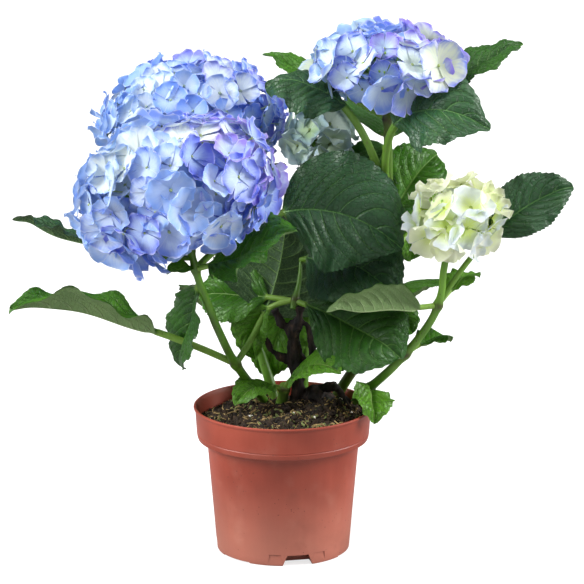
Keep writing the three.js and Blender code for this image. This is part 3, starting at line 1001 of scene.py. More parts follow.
@dataclass(frozen=True)
class Leaf:
    """A serrated leaf with its stalk, from its stem to the far end of the frame's leaf."""

    name: str
    stem: str
    height: float
    width: float
    arch: float = 0.008
    face: Triple = (0.0, 0.0, 1.0)
    fold: float = 18.0
    stalk: float = 0.3
    tone: Tone = Tone.GROWN
    wave: float = 0.0016
    quilt: float = 0.0017
    waves: float = 3.0
    tooth: float = 0.0013
    swell: float = 0.74
    taper: float = 0.9
    bow: Triple | None = None
    stalk_radius: float = 0.0022

    HALF_COLUMNS = 14
    STALK_ROWS = 9
    ROWS_PER_TOOTH = 4
    EDGE = 0.999
    TOOTH_SHAPE = (0.0, 0.4, 0.8, 1.0)
    TOOTH_LENGTH = 0.0043
    TOOTH_RAKE = 0.8
    BLADE_START = (0.0, 0.07)
    THICKNESS = 0.0005
    VEINS = 8.0
    VEIN_RISE = 0.2
    VEIN_CURVE = 0.24
    VEIN_SWAY = 0.3
    VEIN_OFFSET = 0.35
    GROOVE_DEPTH = 0.0011
    GROOVE_WIDTH = 0.0016
    RIB_DEPTH = 0.0014
    RIB_WIDTH = 0.0013
    ROLL = 0.12
    DROOP = 0.05
    SWAY = 0.0012
    CELL_HALF = 0.46
    CELL_FOOT = 0.03
    CELL_RUN = 0.94

    def spine(self) -> tuple[np.ndarray, np.ndarray, np.ndarray]:
        """Where the leaf leaves its stem, the chord to its tip, and the way its arch rises."""
        foot = STEMS[self.stem].at(self.height)
        points = node_points("leaf_" + self.name)
        away = sum(np.linalg.norm(points - start, axis=1) for start in (foot, points.mean(axis=0)))
        chord = points[np.argmax(away)] - foot
        along = unit(chord)
        up = np.array([0, 0, 1.0])
        rise = unit(up - along[2] * along) if self.bow is None else np.array(self.bow)
        return foot, chord, rise

    def outline(self, share: np.ndarray) -> np.ndarray:
        """Half the blade's width at shares of its length."""
        peak = self.swell / (self.swell + self.taper)
        top = peak ** self.swell * (1 - peak) ** self.taper
        return 0.5 * self.width * share ** self.swell * (1 - share) ** self.taper / top

    def rows(self, length: float) -> tuple[np.ndarray, np.ndarray]:
        """Shares of the spine for each row of points, and how far each row's tooth stands out."""
        teeth = int(np.clip(round(length * (1 - self.stalk) / self.TOOTH_LENGTH), 6, 28))
        blade = np.linspace(self.stalk, 0.9985, teeth * self.ROWS_PER_TOOTH + 1)
        stalk = np.linspace(0, self.stalk, self.STALK_ROWS, endpoint=False)
        depth = np.tile(self.TOOTH_SHAPE, teeth)
        depth = np.concatenate([np.zeros(self.STALK_ROWS), depth, [0]])
        return np.concatenate([stalk, blade]), depth

    def columns(self) -> np.ndarray:
        """Shares of the half width round a section: over the top, then back underneath."""
        half = (np.arange(self.HALF_COLUMNS + 1) / self.HALF_COLUMNS) ** 1.2
        top = np.concatenate([-half[:0:-1], half])
        return np.concatenate([top, top[-2:0:-1]])

    def chance(self) -> np.random.Generator:
        """A fresh generator with a seed from the leaf's name."""
        return np.random.default_rng(sum(map(ord, self.name)))

    def luck(self) -> float:
        """The leaf's own number, from 0 to 1."""
        return float(self.chance().uniform())

    def relief(self, share: np.ndarray, q: np.ndarray, half: np.ndarray) -> np.ndarray:
        """The puffed surface between the side veins, with a groove along the midrib."""
        off = np.abs(q)
        sway = self.VEIN_SWAY * np.sin(7 * share + 2 * q + 20 * self.luck())
        bend = off * (self.VEIN_RISE + self.VEIN_CURVE * off)
        phase = self.VEINS * (share - bend) + self.VEIN_OFFSET * (q > 0) + sway
        puff = np.abs(np.sin(math.pi * phase)) ** 0.7
        reach = smooth(0.02, 0.3, off) * (1 - off ** 4)
        reach = reach * smooth(0.0, 0.15, share) * smooth(1.0, 0.85, share)
        groove = self.GROOVE_DEPTH * np.exp(-(q * half / self.GROOVE_WIDTH) ** 2)
        return self.quilt * puff * reach - groove * smooth(0.0, 0.1, share)

    def lift(self, s: np.ndarray, q: np.ndarray, w: np.ndarray, length: float) -> np.ndarray:
        """How far the blade stands off its spine: its fold, its waves, its relief and its droop.

        Args:
            s: shares of the blade's length, by row.
            q: shares of its half width, by column.
            w: half widths, by row.
            length: the leaf's length.

        Returns:
            One height for each point.
        """
        off, swing = np.abs(q), self.chance().uniform(0, 6.3)
        wave = math.tau * self.waves * s
        ripple = np.sin(wave + swing + 1.7 * np.sign(q)) * off ** 2.2
        ripple += 0.5 * np.sin(2.3 * wave + 2 * swing + np.sign(q)) * off ** 4
        lift = off * w * math.sin(math.radians(self.fold)) - self.ROLL * q ** 2 * w
        lift += self.wave * ripple * smooth(0.0, 0.15, s) + self.relief(s, q, w)
        lift -= self.DROOP * length * smooth(0.75, 1.0, s) ** 2 * (1 - self.stalk)
        return lift + self.SWAY * np.sin(9 * s + swing) * smooth(0, 0.1, s) * smooth(1, 0.8, s)

    def thickness(self, s: np.ndarray, q: np.ndarray, w: np.ndarray,
                  over: np.ndarray) -> np.ndarray:
        """How far the skin stands off the middle: round on the stalk, thin on the blade."""
        grown = smooth(*self.BLADE_START, s)
        rib = self.RIB_DEPTH * np.exp(-(q * w / self.RIB_WIDTH) ** 2) * (1 - 0.75 * s)
        thin = self.THICKNESS * (1 - 0.5 * np.abs(q)) * (np.abs(q) <= self.EDGE) * 0.5
        stalk = np.sqrt(np.clip(1 - q ** 2, 0, 1)) * self.stalk_radius
        skin = (1 - grown) * stalk + grown * np.where(over, thin, thin + rib)
        return np.where(over, skin, -skin)

    def sections(self) -> tuple[np.ndarray, np.ndarray, np.ndarray]:
        """The leaf's points by row and column, with their blade and lay coordinates."""
        foot, chord, rise = self.spine()
        length = float(np.linalg.norm(chord))
        t, depth = self.rows(length)
        q = self.columns()[None]
        along = (t[:, None] * chord + (4 * self.arch * t * (1 - t))[:, None] * rise) + foot
        tangent = unit(chord + (4 * self.arch * (1 - 2 * t))[:, None] * rise)
        face = np.array(self.face, float)
        normal = unit(face - (tangent @ face)[:, None] * tangent)
        side = np.cross(tangent, normal)
        raw = ((t - self.stalk) / (1 - self.stalk))[:, None]
        s = np.clip(raw, 0, 1)
        w = self.outline(s)
        grown = smooth(*self.BLADE_START, s)
        over = (np.arange(q.size) <= 2 * self.HALF_COLUMNS)[None]
        body = np.maximum(w, self.stalk_radius * (1 - 0.9 * s))
        tooth = self.tooth * depth[:, None] * smooth(0.05, 0.12, s) * (1 - 0.5 * s)
        tooth = tooth * (np.abs(q) > self.EDGE)
        flat = q * body + np.sign(q) * tooth
        narrowed = flat * (1 - (1 - math.cos(math.radians(self.fold))) * grown)
        height = self.lift(s, q, w, length) * grown + self.thickness(s, q, w, over)
        points = (along[:, None] + narrowed[..., None] * side[:, None]
                  + height[..., None] * normal[:, None]
                  + (self.TOOTH_RAKE * tooth)[..., None] * tangent[:, None])
        face_up = np.where(over, 1.0, -1.0) * (1 + self.luck())
        blade = np.stack(np.broadcast_arrays(q, raw, face_up), axis=-1)
        lay = np.stack(np.broadcast_arrays(flat, t[:, None] * length, self.tone.value + 0 * q),
                       axis=-1)
        return points, blade, lay

    def part(self, cell: int) -> LeafPart:
        """The leaf as a closed mesh, with a place in the pair of atlas cells of that number."""
        sections = self.sections()
        rows, sides = sections[0].shape[:2]
        closed = []
        for values in sections:
            values = values.reshape(-1, 3)
            ends = [values[:sides].mean(axis=0), values[-sides:].mean(axis=0)]
            closed.append(np.concatenate([values, ends]))
        vertices, blade, lay = closed
        across_cell = lay[:, 0] / np.abs(lay[:, 0]).max()
        along_cell = lay[:, 1] / lay[:, 1].max()
        place = [cell % 2 * 2 + 0.5 + self.CELL_HALF * across_cell,
                 cell // 2 + self.CELL_FOOT + self.CELL_RUN * along_cell]
        return LeafPart((vertices, tube_faces(rows, sides)), blade, lay,
                        np.stack(place, axis=-1) / ATLAS_SIDE)


@dataclass(frozen=True)
class LeafFinish:
    """A satin leaf: impressed veins over a fine net, paler underneath, its tone its own, except
    that the deep tone carries painted sheen on top and painted shade underneath.
    """

    name: str = "leaf"
    through_share: float = 0.3
    least_through: float = 0.08
    relief: float = 0.0012
    glow: str = "86BE3A"

    # The upper ramp's deep stop is bluish grey: painted sheen on the deep, glossy leaves over their
    # dark green.
    UPPER = [(0.0, "2D5732"), (0.3, "2D5E1C"), (0.65, "448019"), (1.0, "6CA82E")]
    # The lower ramp's deep stop is darkened as painted shade, for deep leaves whose undersides face
    # out from the shadow inside the plant.
    LOWER = [(0.0, "32522A"), (0.35, "547848"), (0.7, "8CAE6E"), (1.0, "A4C47A")]
    UPPER_VEIN = [(0.0, "5C8E4C"), (0.5, "7CAE50"), (1.0, "A8D070")]
    LOWER_VEIN = [(0.0, "7EA65C"), (1.0, "CDE3A8")]
    STALK = [(0.0, "648E2C"), (0.5, "86B244"), (1.0, "A4CC5E")]
    NET = "10280E"
    FLECK = "6A6438"

    def make(self) -> bpy.types.Material:
        """Builds the material from the blade and lay coordinates."""
        s = Surface(self.name)
        q, share, side = s.attribute("blade")
        x, y, tone = s.attribute("lay")
        top = s.math("GREATER_THAN", side, 0.0)
        luck = s.minus(s.math("ABSOLUTE", side), 1.0)
        off = s.math("ABSOLUTE", q)
        on_blade = s.step(0.0, 0.03, share)
        vein = s.times(self.side_veins(s, q, off, share, luck), on_blade)
        wide = s.line(share, -0.0007, 0.0012)
        midrib = s.times(s.step(1.0, 0.4, s.math("DIVIDE", s.math("ABSOLUTE", x), wide)), on_blade)
        lay = s.whole(x, y, luck)
        net = s.times(self.net(s, lay), on_blade)
        drift = s.noise(s.place, 38.0, 3.0)
        tint = s.plus(s.line(drift, 0.5, -0.25), tone)
        upper, lower, upper_vein, lower_vein, stalk = (
            s.ramp(tint, stops) for stops in
            (self.UPPER, self.LOWER, self.UPPER_VEIN, self.LOWER_VEIN, self.STALK))
        over = s.tinge(upper, self.NET, net, 0.36)
        over = s.blend(s.math("MAXIMUM", s.times(vein, 0.6), s.times(midrib, 0.9)),
                       over, upper_vein)
        under = s.blend(s.times(net, 0.3), lower, lower_vein)
        under = s.blend(s.times(s.math("MAXIMUM", vein, midrib), 0.75), under, lower_vein)
        stalk = s.tinge(stalk, self.FLECK, s.step(0.6, 0.75, s.noise(s.place, 240.0)), 0.6)
        colour = s.blend(on_blade, stalk, s.blend(top, under, over))
        ribs = s.plus(s.math("MAXIMUM", vein, midrib), s.times(net, 0.45))
        height = s.times(s.line(top, -2.0, 1.0), ribs)
        height = s.plus(height, s.times(s.noise(lay, 520.0), 0.3))
        rough = s.line(drift, 0.2, s.line(top, -0.2, 0.5))
        glow = s.blend(0.55, colour, paint(self.glow))
        through = s.line(tone, self.through_share, self.least_through)
        return s.finish(colour, rough, s.bump(height, 0.9, self.relief), glow, through)

    @staticmethod
    def side_veins(s: Surface, q: Socket, off: Socket, share: Socket, luck: Socket) -> Socket:
        """Lines that curve from the midrib to the teeth, finer toward the margin."""
        bend = s.times(off, s.line(off, Leaf.VEIN_CURVE, Leaf.VEIN_RISE))
        swing = s.plus(s.line(share, 7.0, s.times(q, 2.0)), s.times(luck, 20.0))
        sway = s.line(s.math("SINE", swing), Leaf.VEIN_SWAY,
                      s.times(s.math("GREATER_THAN", q, 0.0), Leaf.VEIN_OFFSET))
        part = s.math("FRACT", s.line(s.minus(share, bend), Leaf.VEINS, sway))
        near = s.math("MINIMUM", part, s.minus(1.0, part))
        wide = s.line(off, -0.05, 0.1)
        return s.times(s.step(1.0, 0.1, s.math("DIVIDE", near, wide)), s.line(off, -0.5, 1.0))

    @staticmethod
    def net(s: Surface, lay: Socket) -> Socket:
        """The fine net of the smallest veins."""
        warp = s.add("ShaderNodeTexNoise", {"Vector": lay, "Scale": 160.0}).outputs["Color"]
        bent = s.vector("ADD", lay, s.scaled(warp, 0.0022))
        edge = s.add("ShaderNodeTexVoronoi", {"Vector": bent, "Scale": 330.0},
                     feature="DISTANCE_TO_EDGE").outputs[0]
        return s.step(0.09, 0.015, edge)


LEAVES = (
    Leaf("left_long", "left", 0.151, 0.050, 0.008, (0, 0.1, 1), 44, 0.36, Tone.FRESH, quilt=0.0026,
         wave=0.005, waves=1.6, stalk_radius=0.0027),
    Leaf("left_far", "left", 0.253, 0.036, -0.010, (0.1, 0.1, 1), 30, 0.4, Tone.DEEP, wave=0.003),
    Leaf("left_hanging", "left", 0.226, 0.044, 0.0, (-0.8, -0.7, 0.3), 22, 0.08, Tone.GROWN,
         wave=0.002),
    Leaf("left_under", "left", 0.236, 0.062, -0.004, (0, -0.6, 1), 12, 0.14, Tone.FRESH,
         quilt=0.0024, wave=0.004),
    Leaf("left_inner", "left", 0.151, 0.104, -0.012, (0.1, 1, 0.1), 8, 0.4, Tone.DEEP,
         quilt=0.0022, stalk_radius=0.0026),
    Leaf("left_young", "left", 0.236, 0.018, 0.002, (0, -0.5, 1), 20, 0.1, Tone.YOUNG, quilt=0.0,
         wave=0.0, tooth=0.0, stalk_radius=0.0016),
    Leaf("soil_right", "shoot", 0.125, 0.044, 0.009, (-0.2, -0.6, 0.9), 12, 0.12, Tone.YOUNG,
         wave=0.0008, tooth=0.0011),
    Leaf("soil_left", "shoot", 0.123, 0.034, 0.008, (0, -0.2, 1), 12, 0.2, Tone.YOUNG,
         wave=0.0008, tooth=0.0010),
    Leaf("centre_high", "left", 0.236, 0.096, 0.037, (0, -1, 0.4), 12, 0.42, Tone.DEEP,
         quilt=0.0028, wave=0.003, bow=(0, 0.2, 1), stalk_radius=0.0027),
    Leaf("centre_mid", "centre", 0.226, 0.084, 0.012, (0, -0.8, 0.6), 14, 0.06, Tone.DEEP,
         quilt=0.0024),
    Leaf("centre_low", "centre", 0.197, 0.078, 0.004, (0.1, -1, 0.6), 10, 0.1, Tone.GROWN,
         quilt=0.0026, wave=0.003, swell=1.1, taper=0.75),
    Leaf("centre_left", "centre", 0.197, 0.054, 0.002, (0, -0.9, 0.6), 18, 0.28, Tone.FRESH),
    Leaf("centre_hanging", "centre", 0.198, 0.036, 0.016, (-0.5, -1, 0.3), 30, 0.3, Tone.YOUNG),
    Leaf("back_inner", "back", 0.202, 0.050, 0.008, (0, -1, 0.2), 18, 0.2, Tone.YOUNG),
    Leaf("behind_middle", "back", 0.225, 0.092, 0.022, (0.2, 0.7, 1), tone=Tone.GROWN,
         quilt=0.0024),
    Leaf("behind_centre", "back", 0.225, 0.092, 0.022, (-0.2, 0.7, 1), tone=Tone.DEEP,
         quilt=0.0024),
    Leaf("behind_inner", "back", 0.269, 0.072, 0.014, (0.4, 0.7, 1), tone=Tone.FRESH),
    Leaf("behind_foot", "back", 0.154, 0.072, 0.018, (0, 0.7, 1), tone=Tone.GROWN),
    Leaf("rim", "right", 0.128, 0.034, 0.008, (0.4, -1, 0.4), 18, 0.1, Tone.YOUNG,
         wave=0.0022, tooth=0.0016),
    Leaf("right_pale", "right", 0.204, 0.058, -0.003, (0, 0.6, 0.8), 30, 0.16, Tone.FRESH,
         quilt=0.0028, wave=0.0014),
    Leaf("right_small", "right", 0.204, 0.028, 0.004, stalk=0.3, tone=Tone.YOUNG, quilt=0.0006),
    Leaf("right_low", "right", 0.162, 0.034, 0.004, stalk=0.3, tone=Tone.FRESH, quilt=0.0008),
    Leaf("right_high", "right", 0.204, 0.048, 0.016, (0.2, -1, 0.7), 18, 0.42, Tone.DEEP,
         bow=(-0.2, 0, 1)),
    Leaf("right_behind", "top", 0.260, 0.046, 0.010, (0.2, -1, 0.3), 18, 0.15, Tone.YOUNG),
    Leaf("right_hanging", "top", 0.190, 0.030, 0.004, (0.2, -1, 0.4), 18, 0.1, Tone.FRESH),
    Leaf("top_right", "top", 0.343, 0.042, 0.0, (0, -0.25, 1), 18, 0.3, Tone.GROWN),
    Leaf("top_left", "top", 0.343, 0.028, 0.0, (0, -0.3, 1), 18, 0.3, Tone.FRESH),
    Leaf("top_front_left", "top", 0.274, 0.058, 0.041, (0, -0.4, 1), -14, 0.46, Tone.DEEP,
         quilt=0.0024, wave=0.003, bow=(0.24, -0.32, 0.9), stalk_radius=0.0030),
    Leaf("top_front_right", "top", 0.274, 0.072, 0.050, (0.1, -0.8, 0.7), 8, 0.42, Tone.DEEP,
         quilt=0.0024, wave=0.003, bow=(-0.58, -0.1, 0.8), stalk_radius=0.0030),
    Leaf("top_inner", "top", 0.321, 0.052, 0.014, (-0.3, -1, 0.3), 18, 0.1, Tone.GROWN),
    Leaf("top_middle", "top", 0.260, 0.058, 0.006, (0, -1, 0.4), 18, 0.2, Tone.FRESH),
    Leaf("behind_top", "top", 0.299, 0.084, 0.018, (0, 0.5, 1), tone=Tone.GROWN, quilt=0.0022),
    Leaf("behind_right", "top", 0.227, 0.078, 0.020, (0.4, 0.4, 1), tone=Tone.GROWN),
    Leaf("behind_right_low", "top", 0.175, 0.076, 0.018, (0.2, 0.6, 1), tone=Tone.FRESH),
    Leaf("behind_left", "back_left", 0.216, 0.088, 0.022, (-0.3, 0.7, 1), tone=Tone.GROWN,
         quilt=0.0022),
    Leaf("behind_far_left", "back_left", 0.216, 0.074, 0.018, (-0.5, 0.1, 1), stalk=0.35,
         tone=Tone.DEEP),
    Leaf("behind_high_left", "back_left", 0.259, 0.080, 0.010, (-0.3, 0.6, 1), tone=Tone.GROWN),
    Leaf("behind_high", "back_left", 0.259, 0.076, 0.012, (0.3, 0.7, 1), tone=Tone.DEEP),
    Leaf("behind_low", "back_left", 0.162, 0.074, 0.018, (-0.2, 0.6, 1), tone=Tone.FRESH),
)
SPRAYS = {"leaves_left": 8, "leaves_centre": 6, "leaves_back": 4, "leaves_right": 7,
          "leaves_top": 6, "leaves_back_right": 3, "leaves_back_left": 5}


def build_leaves() -> None:
    """Builds the leaves in order, a spray of up to eight to a piece."""
    material = LeafFinish().make()
    start = 0
    for name, count in SPRAYS.items():
        leaves = LEAVES[start:start + count]
        start += count
        parts = [leaf.part(cell) for cell, leaf in enumerate(leaves)]
        mesh = make_mesh(name, *join([part.solid for part in parts]))
        add_values(mesh, "blade", np.concatenate([part.blade for part in parts]))
        add_values(mesh, "lay", np.concatenate([part.lay for part in parts]))
        add_uv(mesh, ATLAS, np.concatenate([part.place for part in parts]))
        mesh.set_sharp_from_angle(angle=math.radians(75))
        hand_over(put(name, mesh, material), "leaf", *("leaf_" + leaf.name for leaf in leaves))


# ---- old wood -----------------------------------------------------------------------------------


@dataclass(frozen=True)
class WoodyBase:
    """The dead trunk with its stubs, and the knotted crown beside it, under rough bark."""

    node: str = "woody_base"
    voxel: float = 0.0008
    bark_depth: float = 0.0022
    limbs: tuple = (
        (((0.012, 0.022, 0.100), (0.012, 0.015, 0.124), (0.010, 0.012, 0.145),
          (0.008, 0.010, 0.174)), 0.0068, 0.0044),
        (((0.008, 0.010, 0.170), (-0.001, 0.010, 0.179), (-0.007, 0.010, 0.190)), 0.0040, 0.0030),
        (((0.008, 0.010, 0.170), (0.012, 0.009, 0.181), (0.013, 0.008, 0.194)), 0.0042, 0.0034),
        (((0.009, 0.012, 0.146), (-0.007, 0.012, 0.155), (-0.014, 0.012, 0.167)), 0.0038, 0.0018),
        (((0.013, 0.015, 0.130), (0.020, 0.011, 0.146), (0.023, 0.007, 0.163),
          (0.018, 0.008, 0.179), (0.011, 0.009, 0.177)), 0.0036, 0.0026),
        (((0.012, 0.021, 0.114), (0.026, 0.012, 0.125), (0.042, 0.003, 0.129),
          (0.050, -0.007, 0.116)), 0.0044, 0.0024),
        (((0.012, 0.021, 0.112), (0.024, 0.004, 0.122), (0.036, -0.008, 0.114)), 0.0040, 0.0022),
    )
    knots: tuple = (((0.030, 0.020, 0.110), 0.0120), ((0.046, 0.012, 0.112), 0.0085),
                    ((0.035, -0.006, 0.108), 0.0100), ((0.008, 0.010, 0.176), 0.0062),
                    ((0.011, 0.013, 0.147), 0.0076), ((0.025, 0.009, 0.122), 0.0072))

    LIMB_ROWS = 20
    KNOT_ROWS = 9
    SIDES = 10

    def shape(self) -> bpy.types.Object:
        """Limbs and knots as overlapping closed shapes in one mesh."""
        parts, rows = [], self.LIMB_ROWS
        for number, (route, foot, tip) in enumerate(self.limbs):
            swell = 1 + 0.2 * np.sin(np.linspace(0, 11 + number, rows) + number)
            parts.append(tube(curve(list(route), rows), np.linspace(foot, tip, rows) * swell,
                              self.SIDES))
        for number, (centre, radius) in enumerate(self.knots):
            chance = np.random.default_rng(number)
            turn = np.linspace(0.05, math.pi - 0.05, self.KNOT_ROWS)
            line = np.array(centre) + np.stack([0 * turn, 0 * turn, -np.cos(turn) * radius], axis=1)
            uneven = 1 + 0.16 * chance.standard_normal((self.KNOT_ROWS, self.SIDES))
            parts.append(tube(line, np.sin(turn)[:, None] * radius * uneven, self.SIDES))
        return put("woody_base_shape", make_mesh("woody_base", *join(parts)))

    def bark(self) -> Growth:
        """The tree that roughens the wood: long ridges, and pits across them."""
        g = Growth("bark", {"Depth": self.bark_depth, "Ridge scale": 170.0, "Pit scale": 620.0,
                            "Material": WoodFinish().make()})
        i = g.inputs
        place = g.field("Position")
        ridge = g.noise(g.vector("MULTIPLY", place, (1.0, 1.0, 0.35)), i["Ridge scale"], 4.0)
        pit = g.noise(place, i["Pit scale"], 2.0)
        height = g.plus(g.line(ridge, 2.4, -1.2), g.line(pit, 0.8, -0.4))
        moved = g.moved(i["Geometry"], g.scaled(g.field("Normal"), g.times(height, i["Depth"])))
        g.end(g.add("GeometryNodeSetShadeSmooth", {0: moved}).outputs[0], i["Material"])
        return g

    def build(self) -> None:
        """Builds the wood as one closed, bark-covered mesh."""
        shape = self.shape()
        remesh = shape.modifiers.new("one skin", "REMESH")
        remesh.mode = "VOXEL"
        remesh.voxel_size = self.voxel
        wood = self.bark().run(settle(shape, "woody_base_skin"), "old_wood")
        hand_over(wood, "old_wood", self.node)


@dataclass(frozen=True)
class WoodFinish:
    """Dark, dead wood, brown on its ridges, with painted shade that turns its cracks near black."""

    name: str = "old_wood"

    def make(self) -> bpy.types.Material:
        """Builds the material."""
        s = Surface(self.name)
        tall = s.stretched(s.place, (1, 1, 0.3))
        grain = s.noise(tall, 260.0, 5.0)
        # Painted shade: the grain that sinks the cracks in the bump also turns them near black.
        colour = s.ramp(grain, [(0.35, "080504"), (0.52, "1A110B"), (0.66, "33231A"),
                                (0.8, "5A4632")])
        moss = s.times(s.step(0.56, 0.7, s.noise(s.place, 75.0)),
                       s.step(0.135, 0.112, s.parts(s.place)[2]))
        colour = s.tinge(colour, "46521F", moss, 0.7)
        return s.finish(colour, 0.85, s.bump(grain, 0.6, 0.0008))


# ---- pot ----------------------------------------------------------------------------------------


@dataclass(frozen=True)
class Pot:
    """A tapered nursery pot with a stepped collar and a foot ring with three notches."""

    node: str = "pot"
    sides: int = 180
    wall: float = 0.0014
    collar_height: float = 0.026
    collar_foot_radius: float = 0.067
    body_top_radius: float = 0.0597
    base_radius: float = 0.052
    floor: float = 0.012
    groove_height: float = 0.0048
    groove_depth: float = 0.0005
    notch_count: int = 3
    first_notch: float = 13.0
    notch_height: float = 0.009
    notch_top: float = 0.017
    notch_foot: float = 0.0279
    notch_depth: float = 0.013
    panel_width: float = 0.012
    panel_depth: float = 0.0002
    panel_gap: float = 0.0035
    panel_taper: float = 0.003
    below: float = -0.005
    gap_angle: float = 33.0
    gap_lift: float = 0.0012
    gap_depth: float = 0.005

    def profile(self) -> list[tuple[float, float]]:
        """Radius and height round the section, from the middle of the foot to that of the floor."""
        low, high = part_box(self.node)
        rim, top = (high.x - low.x) / 2, high.z
        step = top - self.collar_height
        base, collar, body = self.base_radius, self.collar_foot_radius, self.body_top_radius
        wall, floor = self.wall, self.floor
        slope = (rim - collar) / self.collar_height
        groove = step + self.groove_height
        at_groove = collar + slope * self.groove_height
        foot = [(0, 0.0008), (base - 0.006, 0.0008), (base - 0.0045, 0), (base - 0.0016, 0),
                (base - 0.0005, 0.0004), (base, 0.0016), (base + 0.05 * (body - base), 0.006)]
        under_collar = [
            (body - 0.0006, step - 0.0062), (body, step - 0.004), (body + 0.0006, step - 0.002),
            (body + 0.0018, step - 0.0008), (body + 0.0034, step - 0.0002), (collar - 0.0014, step),
            (collar - 0.0004, step + 0.0004), (collar, step + 0.0014)]
        line = [(at_groove - 0.0001, groove - 0.0006), (at_groove - self.groove_depth, groove),
                (at_groove, groove + 0.0006)]
        lip = [(rim - inward, top - down) for inward, down in (
            (0.0013, 0.0036), (0.0009, 0.0024), (0.0002, 0.0018), (0, 0.0012), (0.0001, 0.0005),
            (0.0005, 0.0001), (0.0011, 0), (0.0018, 0.0002), (0.0023, 0.0009),
            (0.0026 + wall * 0.2, 0.004))]
        inside = [(collar - wall - 0.0004, step + 0.003), (body - wall, step - 0.003),
                  (base - wall + 0.0006, floor + 0.002), (base - wall - 0.001, floor), (0, floor)]
        return foot + under_collar + line + lip + inside

    def lathe(self) -> bpy.types.Mesh:
        """The pot before its feet are cut."""
        profile = np.array(self.profile())
        turn = turns(self.sides)
        ring = profile[1:-1]
        points = np.stack([ring[:, :1] * np.cos(turn), ring[:, :1] * np.sin(turn),
                           np.broadcast_to(ring[:, 1:], (len(ring), self.sides))], axis=-1)
        ends = np.array([[0, 0, profile[0, 1]], [0, 0, profile[-1, 1]]])
        return make_mesh("pot", np.concatenate([points.reshape(-1, 3), ends]),
                         tube_faces(len(ring), self.sides))

    def block(self, angle: float, depth: float, bottom: float, top: float, foot: float,
              head: float) -> Solid:
        """A block that reaches into the foot of the pot's wall.

        Args:
            angle: where it stands, in degrees from the front.
            depth: how far it reaches into the foot.
            bottom: the height of its lower side.
            top: the height of its upper side.
            foot: its width at the bottom.
            head: its width at the top.

        Returns:
            Its vertices and its faces.
        """
        face = [(-foot / 2, bottom), (foot / 2, bottom), (head / 2, top), (-head / 2, top)]
        clear_of_pot = 0.01
        reaches = (self.base_radius - depth, self.base_radius + clear_of_pot)
        points = np.array([(x, -reach, z) for reach in reaches for x, z in face])
        faces = np.array([(0, 1, 2, 3), (7, 6, 5, 4), (4, 5, 1, 0), (5, 6, 2, 1), (6, 7, 3, 2),
                          (7, 4, 0, 3)])
        return spun(points, math.radians(angle)), [faces[:, ::-1]]

    def cuts(self) -> list[bpy.types.Object]:
        """The shapes that cut the notches, the gaps between the feet and the sunk panels."""
        notches, panels = [], []
        gap = 2 * self.base_radius * math.sin(math.radians(self.gap_angle / 2))
        off = (self.notch_top / 2 + self.panel_width / 2 + self.panel_gap) / self.base_radius
        for n in range(self.notch_count):
            angle = self.first_notch + 360 / self.notch_count * n
            notches.append(self.block(angle, self.notch_depth, self.below, self.notch_height,
                                      self.notch_foot, self.notch_top))
            notches.append(self.block(angle + 180 / self.notch_count, self.gap_depth, self.below,
                                      self.gap_lift, gap, gap))
            for side in (-1, 1):
                panels.append(self.block(angle + side * math.degrees(off), self.panel_depth, -0.004,
                                         self.notch_height + 0.0006, self.panel_width,
                                         self.panel_width - self.panel_taper))
        return [put(name, make_mesh(name, *join(parts)))
                for name, parts in (("notches", notches), ("panels", panels))]

    def build(self) -> None:
        """Builds the pot and cuts its feet."""
        pot = put("pot_turned", self.lathe())
        cutters = self.cuts()
        for cutter in cutters:
            cut = pot.modifiers.new("cut", "BOOLEAN")
            cut.object = cutter
            cut.operation = "DIFFERENCE"
            cut.solver = "EXACT"
        pot = settle(pot, "nursery_pot")
        for cutter in cutters:
            bpy.data.objects.remove(cutter)
        pot.data.materials.clear()
        pot.data.materials.append(PotFinish().make())
        pot.data.set_sharp_from_angle(angle=math.radians(32))
        hand_over(pot, "terracotta_plastic", self.node)


@dataclass(frozen=True)
class PotFinish:
    """Terracotta-coloured plastic under a pale haze that is partly dust and partly painted sheen,
    with more of it near the foot, scuffed and streaked.
    """

    name: str = "terracotta_plastic"

    def make(self) -> bpy.types.Material:
        """Builds the material."""
        s = Surface(self.name)
        broad = s.noise(s.place, 16.0, 3.0)
        streaks = s.noise(s.stretched(s.place, (1, 1, 0.06)), 210.0, 4.0)
        grain = s.noise(s.place, 900.0, 3.0)
        base = s.ramp(s.line(streaks, 0.12, s.times(broad, 0.88)),
                      [(0.3, "80301F"), (0.5, "943D2A"), (0.7, "A94B37")])
        # Painted sheen mixed with dust: pale patches that stand in for soft highlights on the
        # plastic as well as for its dust.
        dust_and_sheen = s.line(s.noise(s.place, 42.0, 5.0), 0.8, -0.12)
        # More of the painted sheen and dust toward the foot of the pot.
        low = s.step(0.08, 0.0, s.parts(s.place)[2])
        colour = s.tinge(base, "C48C78", s.plus(s.step(0.3, 0.75, dust_and_sheen), low), 0.4)
        stain = s.step(0.56, 0.74, s.noise(s.place, 27.0, 5.0))
        colour = s.tinge(colour, "6E3A2C", stain, 0.3)
        speck = s.specks(s.place, 300.0, 0.13, 70.0, 0.56)
        colour = s.tinge(colour, "4A241A", speck, 0.6)
        rough = s.line(dust_and_sheen, 0.3, 0.38)
        bumps = s.plus(s.times(grain, 0.3), s.minus(s.times(streaks, 0.2), speck))
        return s.finish(colour, rough, s.bump(bumps, 0.18, 0.0004))


# ---- compost ------------------------------------------------------------------------------------


class Crumb(Enum):
    """What lies on the compost.

    Each has its name, its spacing and length in metres, and its thickness as a share of its length.
    """

    CRUMB = ("compost_crumbs", 0.0021, 0.0052, 0.62)
    FIBRE = ("compost_fibres", 0.0030, 0.0090, 0.09)
    MOSS = ("compost_moss", 0.0028, 0.0050, 0.4)
    PERLITE = ("compost_perlite", 0.0110, 0.0042, 0.75)


